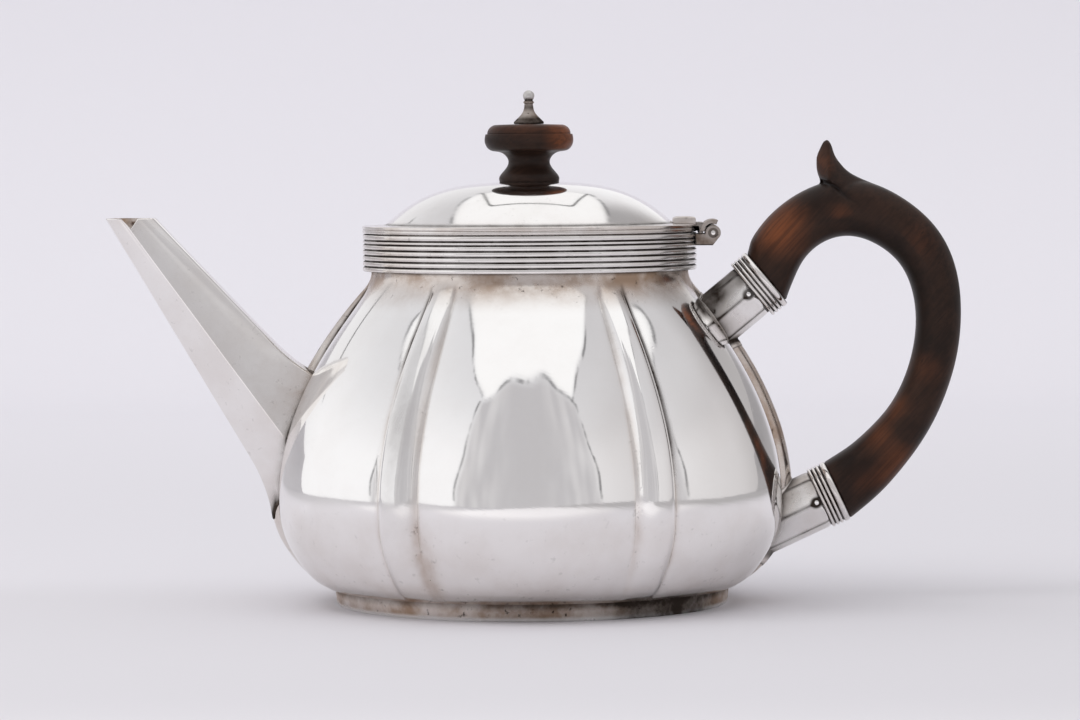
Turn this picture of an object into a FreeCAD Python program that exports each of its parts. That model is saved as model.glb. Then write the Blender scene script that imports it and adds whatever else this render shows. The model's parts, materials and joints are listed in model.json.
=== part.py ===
"""Silver teapot with a lobed body, a straight six-sided spout, a hinged lid and a wooden handle.

Millimetres.  The origin is the centre of the foot ring on the table, +Z is up, the spout points
to -X and the handle to +X.  The body has wide lobes parted by narrow ribs: one rib runs under
the spout and the opposite one under the handle.
"""
import FreeCAD
import Part
import math
import os

Vector = FreeCAD.Vector
UP = Vector(0, 0, 1)
ACROSS = Vector(0, 1, 0)

# Foot ring and base
foot_height = 3.9
foot_top_radius = 59.2
foot_taper = 0.9
foot_ring_width = 5.0
base_plate_thickness = 1.0

# Body shell
body_wall = 1.0
body_overhang = 1.0
belly_radius = 78.3
belly_height = 33.0
shoulder_top = 97.0
neck_radius = 47.5
neck_height = 13.9
shoulder_power = 1.93
underside_power = 2.45

# Lobes and ribs
panel_count = 6
rib_half_angle = 4.9
crease_depth = 4.0
lobe_rise = 0.3
relief_fade_power = 4.0

# Level sections of the body, closer together towards foot and neck
under_steps = 7
over_steps = 11
station_power = 0.85

# Reeded collar round the neck, bands from the bottom up
collar_thickness = 2.6
collar_reed_height = 0.98
collar_reed_count = 5
collar_fillet_height = 0.5
collar_band_height = 1.36
collar_groove_height = 0.69
reed_relief = 0.55

# Spout
spout_root_height = 53.0
spout_angle = 53.6
spout_length = 78.4
spout_wall = 1.0
spout_tip_upper = 6.5
spout_tip_lower = 4.75
spout_tip_width = 13.0
spout_tip_flat = 7.0
spout_root_upper = 16.4
spout_root_lower = 12.4
spout_root_width = 24.0
spout_root_flat = 12.0
spout_flare_radius = 48.0
spout_upper_flare_length = 21.4
spout_lower_flare_length = 2.6
spout_sink = 16.0
spout_floor_rise = -17.0

# Strainer holes through the body wall behind the spout
strainer_hole_radius = 1.5
strainer_pitch = 4.6
strainer_rows = (2, 3, 4, 3, 2)

# Lid
lid_gap = 0.3
lid_sheet = 1.0
lid_rim_height = 1.2
lid_rim_width = 2.2
flange_width = 7.0
flange_rise = 0.3
dome_height = 12.6
dome_power = 3.0
dome_arcs = ((0, 0.2, 0.4), (0.4, 0.58, 0.75), (0.75, 0.88, 1))
bezel_depth = 6.0
bezel_wall = 1.0
bezel_clearance = 0.5

# Lid hinge
hinge_reach = 4.75
hinge_drop = 0.1
hinge_width = 18.0
knuckle_radius = 2.3
lid_knuckle_width = 6.6
hinge_pin_radius = 0.75
hinge_clearance = 0.05
hinge_side_gap = 0.35
leaf_thickness = 1.35
leaf_start_angle = 70.0
leaf_end_angle = 176.0
strap_length = 7.4
strap_thickness = 2.2
strap_link_depth = 0.8
bracket_drop = 4.0
bracket_plate = 1.4

# Wooden knob and its silver finial
knob_base_radius = 8.9
knob_waist_radius = 6.2
knob_under_radius = 10.0
knob_radius = 13.3
knob_top_radius = 10.4
knob_base_height = 2.0
knob_waist_height = 6.0
knob_under_height = 9.0
knob_girth_height = 13.1
knob_height = 17.2
finial_disc_radius = 4.5
finial_disc_height = 1.0
finial_neck_radius = 1.35
finial_neck_height = 7.2
finial_bead_radius = 1.75
shank_radius = 1.9
shank_clearance = 0.1
washer_radius = 6.0
washer_thickness = 0.8
nut_radius = 4.2
nut_height = 3.0
shank_end = 0.8

# Handle sockets: a six-sided tube on the body, a reeded ferrule and a cross pin
upper_socket_drop = 11.3
upper_socket_angle = 39.5
upper_socket_length = 12.1
upper_socket_flat = 16.5
upper_ferrule_radius = 10.05
lower_socket_height = 26.6
lower_socket_angle = 25.0
lower_socket_length = 9.7
lower_socket_flat = 17.2
lower_ferrule_radius = 9.6
socket_taper = 3.5
ferrule_reed_height = 0.75
ferrule_reed_count = 3
ferrule_band_height = 1.9
ferrule_groove_height = 0.55
tenon_radius = 6.9
tenon_clearance = 0.1
tenon_depth = 3.4
handle_pin_radius = 0.75
handle_pin_setback = 1.1
handle_pin_head = 0.2
pin_clearance = 0.03
socket_plate_thickness = 1.0
socket_plate_radius = 11.0
plate_tail_length = 15.5
plate_tail_half_width = 3.0

# Handle: a wooden loop between the two ferrules, with a thumb spur on top.  Centre line points
# of the front leg, arch and back are measured from the upper ferrule, the others from the lower.
handle_lead = 2.2
handle_front = (2.6, 6.2)
handle_rise = (12.0, 16.9)
handle_arch = (26.0, 20.4)
handle_shoulder = (46.0, 8.2)
handle_back = (51.3, -12.0)
handle_lower_back = (26.3, 31.7)
handle_heel = (13.6, 11.6)
handle_end_thickness = 17.4
handle_front_thickness = 15.6
handle_arch_thickness = 16.8
handle_back_thickness = 13.6
handle_thin_share = 0.62
handle_end_width = 17.0
handle_back_width = 15.0
spur_base = (-1.0, 1.0)
spur_base_radius = 9.8
spur_base_width = 13.0
spur_waist = (-6.2, 11.6)
spur_waist_radius = 4.4
spur_waist_width = 9.0
spur_neck = (-8.2, 16.4)
spur_neck_radius = 2.7
spur_neck_width = 6.0
spur_tip = (-7.6, 19.9)
handle_steps = 30
oval_steps = 6

# Thin film of solder between pieces that are soldered together
solder_gap = 0.05

# Turn from one corner of a hexagon to the next
hexagon_turn = 60

# Places worked out from the sizes above
rim_height = shoulder_top + neck_height
rim_radius = foot_top_radius + body_overhang
collar_radius = neck_radius + collar_thickness
lid_base = rim_height + lid_gap
flange_top = lid_base + lid_rim_height + lid_sheet
dome_radius = collar_radius - flange_width
dome_base = flange_top + flange_rise
dome_top = dome_base + dome_height
hinge_x = collar_radius + hinge_reach
hinge_z = rim_height - hinge_drop


def flat_point(place):
    """A point of the vertical plane through spout and handle."""
    return Vector(place[0], 0, place[1])


def outline(points):
    """Closed straight-sided wire through the points."""
    return Part.makePolygon(points + [points[0]])


def turned(points):
    """Solid turned about the vertical axis from a straight-sided (radius, height) profile."""
    return Part.Face(outline([flat_point(place) for place in points])).revolve(Vector(), UP, 360)


def turned_edges(edges):
    """Solid turned about the vertical axis from a closed profile of edges."""
    return Part.Face(Part.Wire(edges)).revolve(Vector(), UP, 360)


def line(start, end):
    return Part.LineSegment(flat_point(start), flat_point(end)).toShape()


def arc(start, middle, end):
    return Part.Arc(flat_point(start), flat_point(middle), flat_point(end)).toShape()


def ring(inner, outer, low, high):
    """Upright ring with square edges."""
    return turned([(inner, low), (outer, low), (outer, high), (inner, high)])


def upright_cylinder(radius, low, high):
    return Part.makeCylinder(radius, high - low, UP * low, UP)


def hexagon_bar(corner_radius, first_angle, low, high):
    """Upright six-sided bar, its first corner at an angle from +X."""
    turns = range(0, 360, hexagon_turn)
    corners = [polar(corner_radius, first_angle + turn, low) for turn in turns]
    return Part.Face(outline(corners)).extrude(UP * (high - low))


def corner_of(flat):
    """Corner radius of a hexagon from its size across the flats."""
    return flat / 2 / math.cos(math.radians(hexagon_turn / 2))


def cylinder_across(radius, half_length, place):
    """Cylinder along Y, centred on a point of the middle plane."""
    start = flat_point(place) - ACROSS * half_length
    return Part.makeCylinder(radius, 2 * half_length, start, ACROSS)


def plate_across(points, low, high):
    """Straight-sided plate in the middle plane, from one Y to another."""
    face = Part.Face(outline([flat_point(place) for place in points]))
    face.translate(ACROSS * low)
    return face.extrude(ACROSS * (high - low))


def height_share(height):
    """How far a height lies from the belly line: 0 there, 1 at the shoulder top and at the foot."""
    if height >= belly_height:
        return (height - belly_height) / (shoulder_top - belly_height)
    return (belly_height - height) / (belly_height - foot_height)


def crown_radius(height):
    """Radius of the rib crowns, a power curve above the belly line and another below it."""
    if height >= belly_height:
        return belly_radius - (belly_radius - neck_radius) * height_share(height) ** shoulder_power
    return belly_radius - (belly_radius - rim_radius) * height_share(height) ** underside_power


def polar(radius, angle, height):
    turn = math.radians(angle)
    return Vector(radius * math.cos(turn), radius * math.sin(turn), height)


def body_section(height, grow):
    """Level section of the body: a short arc for each rib, then a long arc for each lobe."""
    fade = 1 - height_share(height) ** relief_fade_power
    crown = crown_radius(height) + grow
    crease = crown - crease_depth * fade
    lobe = crown + lobe_rise * fade
    panel = 360 / panel_count
    edges = []
    for index in range(panel_count):
        rib = index * panel
        before = polar(crease, rib - rib_half_angle, height)
        after = polar(crease, rib + rib_half_angle, height)
        far = polar(crease, rib + panel - rib_half_angle, height)
        edges.append(Part.Arc(before, polar(crown, rib, height), after).toShape())
        edges.append(Part.Arc(after, polar(lobe, rib + panel / 2, height), far).toShape())
    return Part.Wire(edges)


def body_form(grow):
    """The lobed body as one solid, all its radii grown by a given amount."""
    heights = []
    for step in range(-under_steps, 0):
        share = (-step / under_steps) ** station_power
        heights.append(belly_height - (belly_height - foot_height) * share)
    for step in range(over_steps + 1):
        share = (step / over_steps) ** station_power
        heights.append(belly_height + (shoulder_top - belly_height) * share)
    return Part.makeLoft([body_section(height, grow) for height in heights], True, True)


def strainer_holes():
    """Cylinders along X in staggered rows where the spout meets the body."""
    holes = []
    row_pitch = strainer_pitch * math.cos(math.radians(hexagon_turn / 2))
    for row, count in enumerate(strainer_rows):
        height = spout_root_height + (row - (len(strainer_rows) - 1) / 2) * row_pitch
        for column in range(count):
            side = (column - (count - 1) / 2) * strainer_pitch
            start = Vector(-belly_radius, side, height)
            holes.append(Part.makeCylinder(strainer_hole_radius, belly_radius, start, Vector(1, 0, 0)))
    return Part.makeCompound(holes)


def build_body_shell():
    inside = body_form(-body_wall)
    neck = ring(neck_radius - body_wall, neck_radius, shoulder_top, rim_height)
    return body_form(0).cut(inside).cut(strainer_holes()).fuse(neck)


def build_foot_ring():
    inner = foot_top_radius - foot_ring_width
    base = foot_top_radius - foot_taper
    return turned([(inner, 0), (base, 0), (foot_top_radius, foot_height), (inner, foot_height)])


def build_base_plate():
    radius = rim_radius - body_wall - solder_gap
    return upright_cylinder(radius, foot_height, foot_height + base_plate_thickness)


def reeded_ring(inner, radius, low, bands, groove):
    """Ring whose outside is a stack of bands, with a sharp groove between each two."""
    profile = [(inner, low)]
    for index, band in enumerate(bands):
        if index > 0:
            profile.append((radius - reed_relief, low + groove / 2))
            low += groove
        profile.append((radius, low))
        low += band
        profile.append((radius, low))
    return turned(profile + [(inner, low)])


def build_reeded_collar():
    bands = [collar_reed_height] * collar_reed_count + [collar_fillet_height, collar_band_height]
    low = rim_height - sum(bands) - collar_groove_height * (len(bands) - 1)
    return reeded_ring(neck_radius + solder_gap, collar_radius, low, bands, collar_groove_height)


def spout_section(along, shrink):
    """Six-sided section of the spout, square to its side ridge, at a distance from the root."""
    lean = math.radians(spout_angle)
    axis = Vector(-math.cos(lean), 0, math.sin(lean))
    upward = Vector(math.sin(lean), 0, math.cos(lean))
    share = along / spout_length
    middle = Vector(-crown_radius(spout_root_height), 0, spout_root_height) + axis * along
    upper = spout_root_upper + (spout_tip_upper - spout_root_upper) * share
    lower = spout_root_lower + (spout_tip_lower - spout_root_lower) * share
    half_width = (spout_root_width + (spout_tip_width - spout_root_width) * share) / 2
    half_flat = (spout_root_flat + (spout_tip_flat - spout_root_flat) * share) / 2
    upper += max(0, spout_upper_flare_length - along) ** 2 / (2 * spout_flare_radius) - shrink
    lower += max(0, -spout_lower_flare_length - along) ** 2 / (2 * spout_flare_radius) - shrink
    half_width -= shrink
    half_flat -= shrink / 2
    corners = [(upper, half_flat), (0, half_width), (-lower, half_flat)]
    near = [middle + upward * rise - ACROSS * side for rise, side in corners]
    far = [middle + upward * rise + ACROSS * side for rise, side in reversed(corners)]
    return outline(near + far)


def spout_form(shrink):
    """Tapered six-sided bar that flares towards the body and runs past the level tip."""
    beyond = spout_length + spout_tip_upper + spout_tip_lower
    flare = spout_upper_flare_length
    stations = (beyond, flare, flare / 2, 0, -spout_sink / 2, -spout_sink)
    return Part.makeLoft([spout_section(along, shrink) for along in stations], True, True)


def build_spout(body_outside):
    """Hollow spout cut level at the tip, its heel left solid so that it seals the creases it bridges."""
    tip_height = spout_root_height + spout_length * math.sin(math.radians(spout_angle))
    reach = spout_length + belly_radius
    corner = Vector(-2 * reach, -reach, 0)
    below_tip = Part.makeBox(2 * reach, 2 * reach, tip_height, corner)
    below_floor = Part.makeBox(2 * reach, 2 * reach, spout_root_height + spout_floor_rise, corner)
    channel = spout_form(spout_wall).cut(below_floor)
    return spout_form(0).cut(channel).cut(body_outside).common(below_tip)


def dome_profile(radius):
    """Height of the lid's dome: a cubic crown that falls from the middle to its base circle."""
    return dome_base + dome_height * (1 - (radius / dome_radius) ** dome_power)


def build_lid_dome():
    hole = shank_radius + shank_clearance
    outside = []
    inside = []
    for shares in dome_arcs:
        radii = [hole + (dome_radius - hole) * share for share in shares]
        outside.append(arc(*[(radius, dome_profile(radius)) for radius in radii]))
        inside.append(arc(*[(radius, dome_profile(radius) - lid_sheet) for radius in radii]))
    edge_low = flange_top - lid_sheet
    crown = dome_profile(hole)
    flange = [
        line((dome_radius, dome_base), (collar_radius, flange_top)),
        line((collar_radius, flange_top), (collar_radius, edge_low)),
        line((collar_radius, edge_low), (dome_radius, dome_base - lid_sheet)),
    ]
    return turned_edges(outside + flange + inside[::-1] + [line((hole, crown - lid_sheet), (hole, crown))])


def build_lid_rim():
    return ring(collar_radius - lid_rim_width, collar_radius, lid_base, lid_base + lid_rim_height)


def build_lid_bezel():
    outer = neck_radius - body_wall - bezel_clearance
    top = lid_base + lid_rim_height
    return ring(outer - bezel_wall, outer, top - lid_rim_height - bezel_depth, top)


def sector(inner, outer, first, last, half_width):
    """Curved plate about the hinge axis between two radii and two angles."""

    def spot(radius, angle):
        turn = math.radians(angle)
        return (hinge_x + radius * math.cos(turn), hinge_z + radius * math.sin(turn))

    middle = (first + last) / 2
    edges = [
        arc(spot(outer, first), spot(outer, middle), spot(outer, last)),
        line(spot(outer, last), spot(inner, last)),
        arc(spot(inner, last), spot(inner, middle), spot(inner, first)),
        line(spot(inner, first), spot(outer, first)),
    ]
    face = Part.Face(Part.Wire(edges))
    face.translate(ACROSS * -half_width)
    return face.extrude(ACROSS * (2 * half_width))


def build_hinge_bracket(collar):
    """Two knuckles with cheeks, joined by a plate that is soldered to the collar."""
    cheek_inner = lid_knuckle_width / 2 + hinge_side_gap
    cheek_outer = hinge_width / 2
    low = hinge_z - bracket_drop
    top = hinge_z - hinge_side_gap
    root = neck_radius + solder_gap
    axis = (hinge_x, hinge_z)
    front = collar_radius + bracket_plate
    side = [(root, low), (hinge_x, low), axis, (hinge_x - knuckle_radius, top), (root, top)]
    back = [(root, low), (front, low), (front, top), (root, top)]
    bracket = plate_across(back, -cheek_outer, cheek_outer)
    for direction in (-1, 1):
        span = sorted((direction * cheek_inner, direction * cheek_outer))
        knuckle = cylinder_across(knuckle_radius, (cheek_outer - cheek_inner) / 2, axis)
        knuckle.translate(ACROSS * (direction * (cheek_outer + cheek_inner) / 2))
        bracket = bracket.fuse(plate_across(side, *span)).fuse(knuckle)
    bore = cylinder_across(hinge_pin_radius + hinge_clearance / 2, hinge_width, axis)
    keep_out = upright_cylinder(collar_radius - reed_relief, 0, lid_base)
    return bracket.cut(bore).cut(keep_out).cut(collar).removeSplitter()


def build_hinge_pin():
    return cylinder_across(hinge_pin_radius, hinge_width / 2, (hinge_x, hinge_z))


def build_lid_hinge_leaf(lid_dome, lid_rim):
    """Strap on the lid's flange, a curved cover over the knuckles and the middle knuckle."""
    half = hinge_width / 2
    axis = (hinge_x, hinge_z)
    cover_inner = knuckle_radius + hinge_side_gap
    cover_outer = cover_inner + leaf_thickness
    leaf = sector(cover_inner, cover_outer, leaf_start_angle, leaf_end_angle, half)
    middle = lid_knuckle_width / 2
    leaf = leaf.fuse(sector(knuckle_radius / 2, cover_outer, leaf_start_angle, leaf_end_angle, middle))
    leaf = leaf.fuse(cylinder_across(knuckle_radius, middle, axis))
    strap_end = collar_radius
    strap_start = strap_end - strap_length
    strap_top = flange_top + strap_thickness
    link_start = strap_end - lid_rim_width
    link_end = hinge_x - cover_inner
    link_low = flange_top - strap_link_depth
    strap = [
        (strap_start, flange_top),
        (link_start, flange_top),
        (link_start, link_low),
        (link_end, link_low),
        (link_end, flange_top),
        (strap_end, flange_top),
        (strap_end, strap_top),
        (strap_start, strap_top),
    ]
    leaf = leaf.fuse(plate_across(strap, -half, half))
    leaf = leaf.cut(cylinder_across(hinge_pin_radius + hinge_clearance, hinge_width, axis))
    return leaf.cut(lid_dome).cut(lid_rim).removeSplitter()


def build_finial_knob():
    base = dome_top + solder_gap
    bore = shank_radius + shank_clearance
    foot = (knob_base_radius, base + knob_base_height)
    under = (knob_under_radius, base + knob_under_height)
    top = (knob_top_radius, base + knob_height)
    edges = [
        line((bore, base), (knob_base_radius, base)),
        line((knob_base_radius, base), foot),
        arc(foot, (knob_waist_radius, base + knob_waist_height), under),
        arc(under, (knob_radius, base + knob_girth_height), top),
        line(top, (bore, base + knob_height)),
        line((bore, base + knob_height), (bore, base)),
    ]
    return turned_edges(edges)


def finial_seat():
    return dome_top + knob_height + 2 * solder_gap


def nut_top():
    return dome_top - lid_sheet - 2 * solder_gap - washer_thickness


def build_finial_tip():
    """Silver finial with its disc, neck and bead, on a shank that passes through the knob."""
    seat = finial_seat()
    shoulder = seat + finial_disc_height
    neck = seat + finial_neck_height
    waist = ((finial_disc_radius + 2 * finial_neck_radius) / 3, (shoulder + neck) / 2)
    bead_centre = neck + math.sqrt(finial_bead_radius**2 - finial_neck_radius**2)
    shank_low = nut_top() - nut_height - shank_end
    edges = [
        line((0, shank_low), (shank_radius, shank_low)),
        line((shank_radius, shank_low), (shank_radius, seat)),
        line((shank_radius, seat), (finial_disc_radius, seat)),
        line((finial_disc_radius, seat), (finial_disc_radius, shoulder)),
        arc((finial_disc_radius, shoulder), waist, (finial_neck_radius, neck)),
        line((finial_neck_radius, neck), (0, neck)),
        line((0, neck), (0, shank_low)),
    ]
    return turned_edges(edges).fuse(Part.makeSphere(finial_bead_radius, UP * bead_centre))


def build_finial_washer():
    bore = shank_radius + shank_clearance
    return ring(bore, washer_radius, nut_top() + solder_gap, nut_top() + solder_gap + washer_thickness)


def build_finial_nut():
    low = nut_top() - nut_height
    bore = upright_cylinder(shank_radius + shank_clearance, low, nut_top())
    return hexagon_bar(nut_radius, 0, low, nut_top()).cut(bore)


class Socket:
    """One handle socket: where its axis leaves the body, its lean and its own sizes."""

    def __init__(self, height, angle, length, flat, ferrule_radius):
        self.root = Vector(crown_radius(height), 0, height)
        self.angle = angle
        self.length = length
        self.flat = flat
        self.ferrule_radius = ferrule_radius
        grooves = ferrule_groove_height * ferrule_reed_count
        self.ferrule_length = ferrule_reed_height * ferrule_reed_count + ferrule_band_height + grooves
        self.placement = FreeCAD.Placement(self.root, FreeCAD.Rotation(ACROSS, 90 - angle))

    def placed(self, shape):
        """Move a shape made upright on the origin to the socket's axis."""
        shape.Placement = self.placement.multiply(shape.Placement)
        return shape

    def axis(self):
        turn = math.radians(self.angle)
        return Vector(math.cos(turn), 0, math.sin(turn))

    def handle_end(self):
        """Where the wood meets the ferrule."""
        return self.root + self.axis() * (self.length + self.ferrule_length)

    def pin_height(self):
        return self.length - handle_pin_setback

    def pin_hole(self):
        """Cross hole for the pin, with its running clearance."""
        half = self.flat
        start = Vector(0, -half, self.pin_height())
        return self.placed(Part.makeCylinder(handle_pin_radius + pin_clearance, 2 * half, start, ACROSS))

    def tube(self, keep_out):
        """Six-sided tube whose corners are turned down to arches next to the ferrule."""
        corner = corner_of(self.flat)
        top = self.length
        sink = -self.length
        prism = hexagon_bar(corner, hexagon_turn / 2, sink, top)
        shoulder = top - socket_taper
        arched = turned([(0, sink), (corner, sink), (corner, shoulder), (self.flat / 2, top), (0, top)])
        bore = upright_cylinder(tenon_radius + tenon_clearance, sink, top)
        tube = self.placed(prism.common(arched).cut(bore))
        return tube.cut(keep_out).cut(self.pin_hole())

    def ferrule(self):
        bands = [ferrule_reed_height] * ferrule_reed_count + [ferrule_band_height]
        bore = tenon_radius + tenon_clearance
        return self.placed(reeded_ring(bore, self.ferrule_radius, self.length, bands, ferrule_groove_height))

    def tenon(self, keep_out):
        """Wooden tenon inside the ferrule and the mouth of the tube."""
        tenon = upright_cylinder(tenon_radius, self.length - tenon_depth, self.length + self.ferrule_length)
        return self.placed(tenon).cut(keep_out)

    def pin(self):
        apothem = self.flat / 2
        rise = (corner_of(self.flat) - apothem) * handle_pin_setback / socket_taper
        half = apothem + rise + handle_pin_head
        start = Vector(0, -half, self.pin_height())
        return self.placed(Part.makeCylinder(handle_pin_radius, 2 * half, start, ACROSS))

    def plate(self, skin, tail_length):
        """Thin saddle plate under the tube, round, with a tapering tail down the rib if it has one."""
        disc = self.placed(upright_cylinder(socket_plate_radius, -self.length, self.length))
        if tail_length:
            low = self.root.z - tail_length
            half = socket_plate_radius
            tail = [
                Vector(0, -half, self.root.z),
                Vector(0, -plate_tail_half_width, low),
                Vector(0, plate_tail_half_width, low),
                Vector(0, half, self.root.z),
            ]
            disc = disc.fuse(Part.Face(outline(tail)).extrude(Vector(2 * belly_radius, 0, 0)))
        return skin.common(disc)


def handle_spline(upper, lower):
    """Centre line of the handle: it rises at once from the upper ferrule and runs straight into the lower."""
    start = upper.handle_end()
    end = lower.handle_end()
    top_places = (handle_front, handle_rise, handle_arch, handle_shoulder, handle_back)
    from_upper = [start + flat_point(place) for place in top_places]
    from_lower = [end + flat_point(place) for place in (handle_lower_back, handle_heel)]
    lead_out = [end + lower.axis() * handle_lead, end]
    spline = Part.BSplineCurve()
    spline.interpolate([start] + from_upper + from_lower + lead_out)
    return spline


def handle_thickness(spline, spot):
    """Thickness at a spot of the centre line, in proportion between the places where it is given."""
    start, front, rise, arch, shoulder, back, lower_back, heel, lead, end = spline.getKnots()
    given = [
        (start, handle_end_thickness),
        (front, handle_front_thickness),
        (rise, handle_front_thickness),
        (arch, handle_arch_thickness),
        (back, handle_back_thickness),
        (lower_back, handle_back_thickness),
        (end, handle_end_thickness),
    ]
    for (first, near), (last, far) in zip(given, given[1:]):
        if spot <= last:
            return near + (far - near) * (spot - first) / (last - first)
    return handle_end_thickness


def oval(centre, along, half_thickness, half_width):
    """Oval square to a direction of the middle plane, in two halves that meet on that plane."""
    thick = Vector(along.z, 0, -along.x).normalize() * half_thickness
    wide = ACROSS * half_width
    halves = []
    for side in (1, -1):
        turns = [math.pi * step / oval_steps for step in range(oval_steps + 1)]
        points = [centre + (thick * math.cos(turn) + wide * math.sin(turn)) * side for turn in turns]
        half = Part.BSplineCurve()
        half.interpolate(points, InitialTangent=wide * side, FinalTangent=wide * -side)
        halves.append(half.toShape())
    return Part.Wire(halves)


def handle_section(spline, share, along):
    """Oval of the handle at a share of its length, narrowest at the back and widest at the ferrules."""
    if share < handle_thin_share:
        swell = 1 - share / handle_thin_share
    else:
        swell = (share - handle_thin_share) / (1 - handle_thin_share)
    width = handle_back_width + (handle_end_width - handle_back_width) * swell
    spot = spline.FirstParameter + (spline.LastParameter - spline.FirstParameter) * share
    thickness = handle_thickness(spline, spot)
    return oval(spline.value(spot), along or spline.tangent(spot)[0], thickness / 2, width / 2)


def build_handle_grip(upper, lower, keep_out):
    spline = handle_spline(upper, lower)
    sections = [handle_section(spline, 0, upper.axis())]
    for step in range(1, handle_steps):
        sections.append(handle_section(spline, step / handle_steps, None))
    sections.append(handle_section(spline, 1, lower.axis() * -1))
    loop = Part.makeLoft(sections, True, True)
    arch = upper.handle_end() + flat_point(handle_arch)
    spur_sections = [
        oval(arch + flat_point(spur_base), UP, spur_base_radius, spur_base_width / 2),
        oval(arch + flat_point(spur_waist), UP, spur_waist_radius, spur_waist_width / 2),
        oval(arch + flat_point(spur_neck), UP, spur_neck_radius, spur_neck_width / 2),
        Part.Vertex(arch + flat_point(spur_tip)),
    ]
    spur = Part.makeLoft(spur_sections, True)
    grip = loop.fuse([spur, upper.tenon(keep_out), lower.tenon(keep_out)])
    return grip.cut([upper.pin_hole(), lower.pin_hole()]).removeSplitter()


def build_parts():
    upper = Socket(
        shoulder_top - upper_socket_drop,
        upper_socket_angle,
        upper_socket_length,
        upper_socket_flat,
        upper_ferrule_radius,
    )
    lower = Socket(
        lower_socket_height,
        lower_socket_angle,
        lower_socket_length,
        lower_socket_flat,
        lower_ferrule_radius,
    )
    soldered = body_form(solder_gap)
    plated = body_form(solder_gap + socket_plate_thickness)
    plate_skin = plated.cut(soldered)
    beyond_plate = body_form(2 * solder_gap + socket_plate_thickness)
    collar = build_reeded_collar()
    lid_dome = build_lid_dome()
    lid_rim = build_lid_rim()
    return {
        "body_shell": build_body_shell(),
        "base_plate": build_base_plate(),
        "foot_ring": build_foot_ring(),
        "reeded_collar": collar,
        "spout": build_spout(soldered),
        "hinge_bracket": build_hinge_bracket(collar),
        "hinge_pin": build_hinge_pin(),
        "upper_socket": upper.tube(beyond_plate),
        "upper_socket_plate": upper.plate(plate_skin, 0),
        "upper_ferrule": upper.ferrule(),
        "upper_handle_pin": upper.pin(),
        "lower_socket": lower.tube(beyond_plate),
        "lower_socket_plate": lower.plate(plate_skin, plate_tail_length),
        "lower_ferrule": lower.ferrule(),
        "lower_handle_pin": lower.pin(),
        "handle_grip": build_handle_grip(upper, lower, beyond_plate),
        "lid_dome": lid_dome,
        "lid_rim": lid_rim,
        "lid_bezel": build_lid_bezel(),
        "lid_hinge_leaf": build_lid_hinge_leaf(lid_dome, lid_rim),
        "finial_knob": build_finial_knob(),
        "finial_tip": build_finial_tip(),
        "finial_washer": build_finial_washer(),
        "finial_nut": build_finial_nut(),
    }


def main():
    os.makedirs("parts", exist_ok=True)
    for name, shape in build_parts().items():
        solids = shape.Solids
        print(name, "solids", len(solids), "valid", shape.isValid(), "volume", round(shape.Volume, 1))
        shape.exportStep(f"parts/{name}.step")


main()
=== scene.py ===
# %% [markdown]
# # A silver teapot with a wooden handle
#
# The packed CAD model comes in first and stays fixed: it says where each piece sits and what moves.
# Every piece that shows is then made again as a finer surface in the same place, in millimetres, and
# rides on the body that carries it. Two ways were open: dress the CAD meshes, or work out new
# surfaces. Polished silver shows every flat triangle in its reflections, so the surfaces are new.

# %% Load the packed frame
import bmesh
import bpy
import json
import numpy as np
from mathutils import Matrix, Vector

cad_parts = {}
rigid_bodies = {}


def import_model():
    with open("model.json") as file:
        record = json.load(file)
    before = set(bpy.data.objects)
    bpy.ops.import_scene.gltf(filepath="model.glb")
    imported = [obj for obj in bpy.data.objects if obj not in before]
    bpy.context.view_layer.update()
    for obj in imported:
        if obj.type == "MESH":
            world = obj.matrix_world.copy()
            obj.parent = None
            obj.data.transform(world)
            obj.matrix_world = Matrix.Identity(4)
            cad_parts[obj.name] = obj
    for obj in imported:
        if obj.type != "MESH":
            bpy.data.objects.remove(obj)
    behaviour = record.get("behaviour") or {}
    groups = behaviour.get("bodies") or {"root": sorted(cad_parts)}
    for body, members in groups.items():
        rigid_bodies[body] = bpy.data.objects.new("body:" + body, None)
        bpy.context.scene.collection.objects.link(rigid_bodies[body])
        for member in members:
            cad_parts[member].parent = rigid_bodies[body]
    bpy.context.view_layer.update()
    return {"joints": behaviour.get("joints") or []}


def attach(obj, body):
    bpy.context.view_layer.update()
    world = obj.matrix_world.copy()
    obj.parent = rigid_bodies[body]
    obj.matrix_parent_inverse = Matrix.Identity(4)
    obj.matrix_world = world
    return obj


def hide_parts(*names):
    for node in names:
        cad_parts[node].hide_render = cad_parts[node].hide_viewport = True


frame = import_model()
MM = 0.001

# %% [markdown]
# ## From a grid of points to a mesh
#
# A turned lid, a lobed body and a swept handle are all a grid of points: rows along the shape, columns
# around it. One helper turns such grids into a mesh, so each piece below is only its formula. The
# helper also carries two masks to every point: one for tarnish, a thin warm film, and one for grime,
# dark dirt that polishing leaves in grooves. On some pieces both masks also paint shade, light and
# reflections into the colour. A mask that comes from the formula follows the shape exactly.


# %% Patches and faces
def patch(points, loop=False, around=True, caps=False, tarnish=0.0, grime_and_shade=0.0):
    """A grid of points (rows, columns, xyz) in millimetres, how it closes, and its masks from 0 to 1."""
    shape = points.shape[:2]
    return {
        "points": points,
        "loop": loop,
        "around": around,
        "caps": caps,
        "tarnish": np.broadcast_to(np.clip(tarnish, 0, 1), shape),
        "grime_and_shade": np.broadcast_to(np.clip(grime_and_shade, 0, 1), shape),
    }


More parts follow.
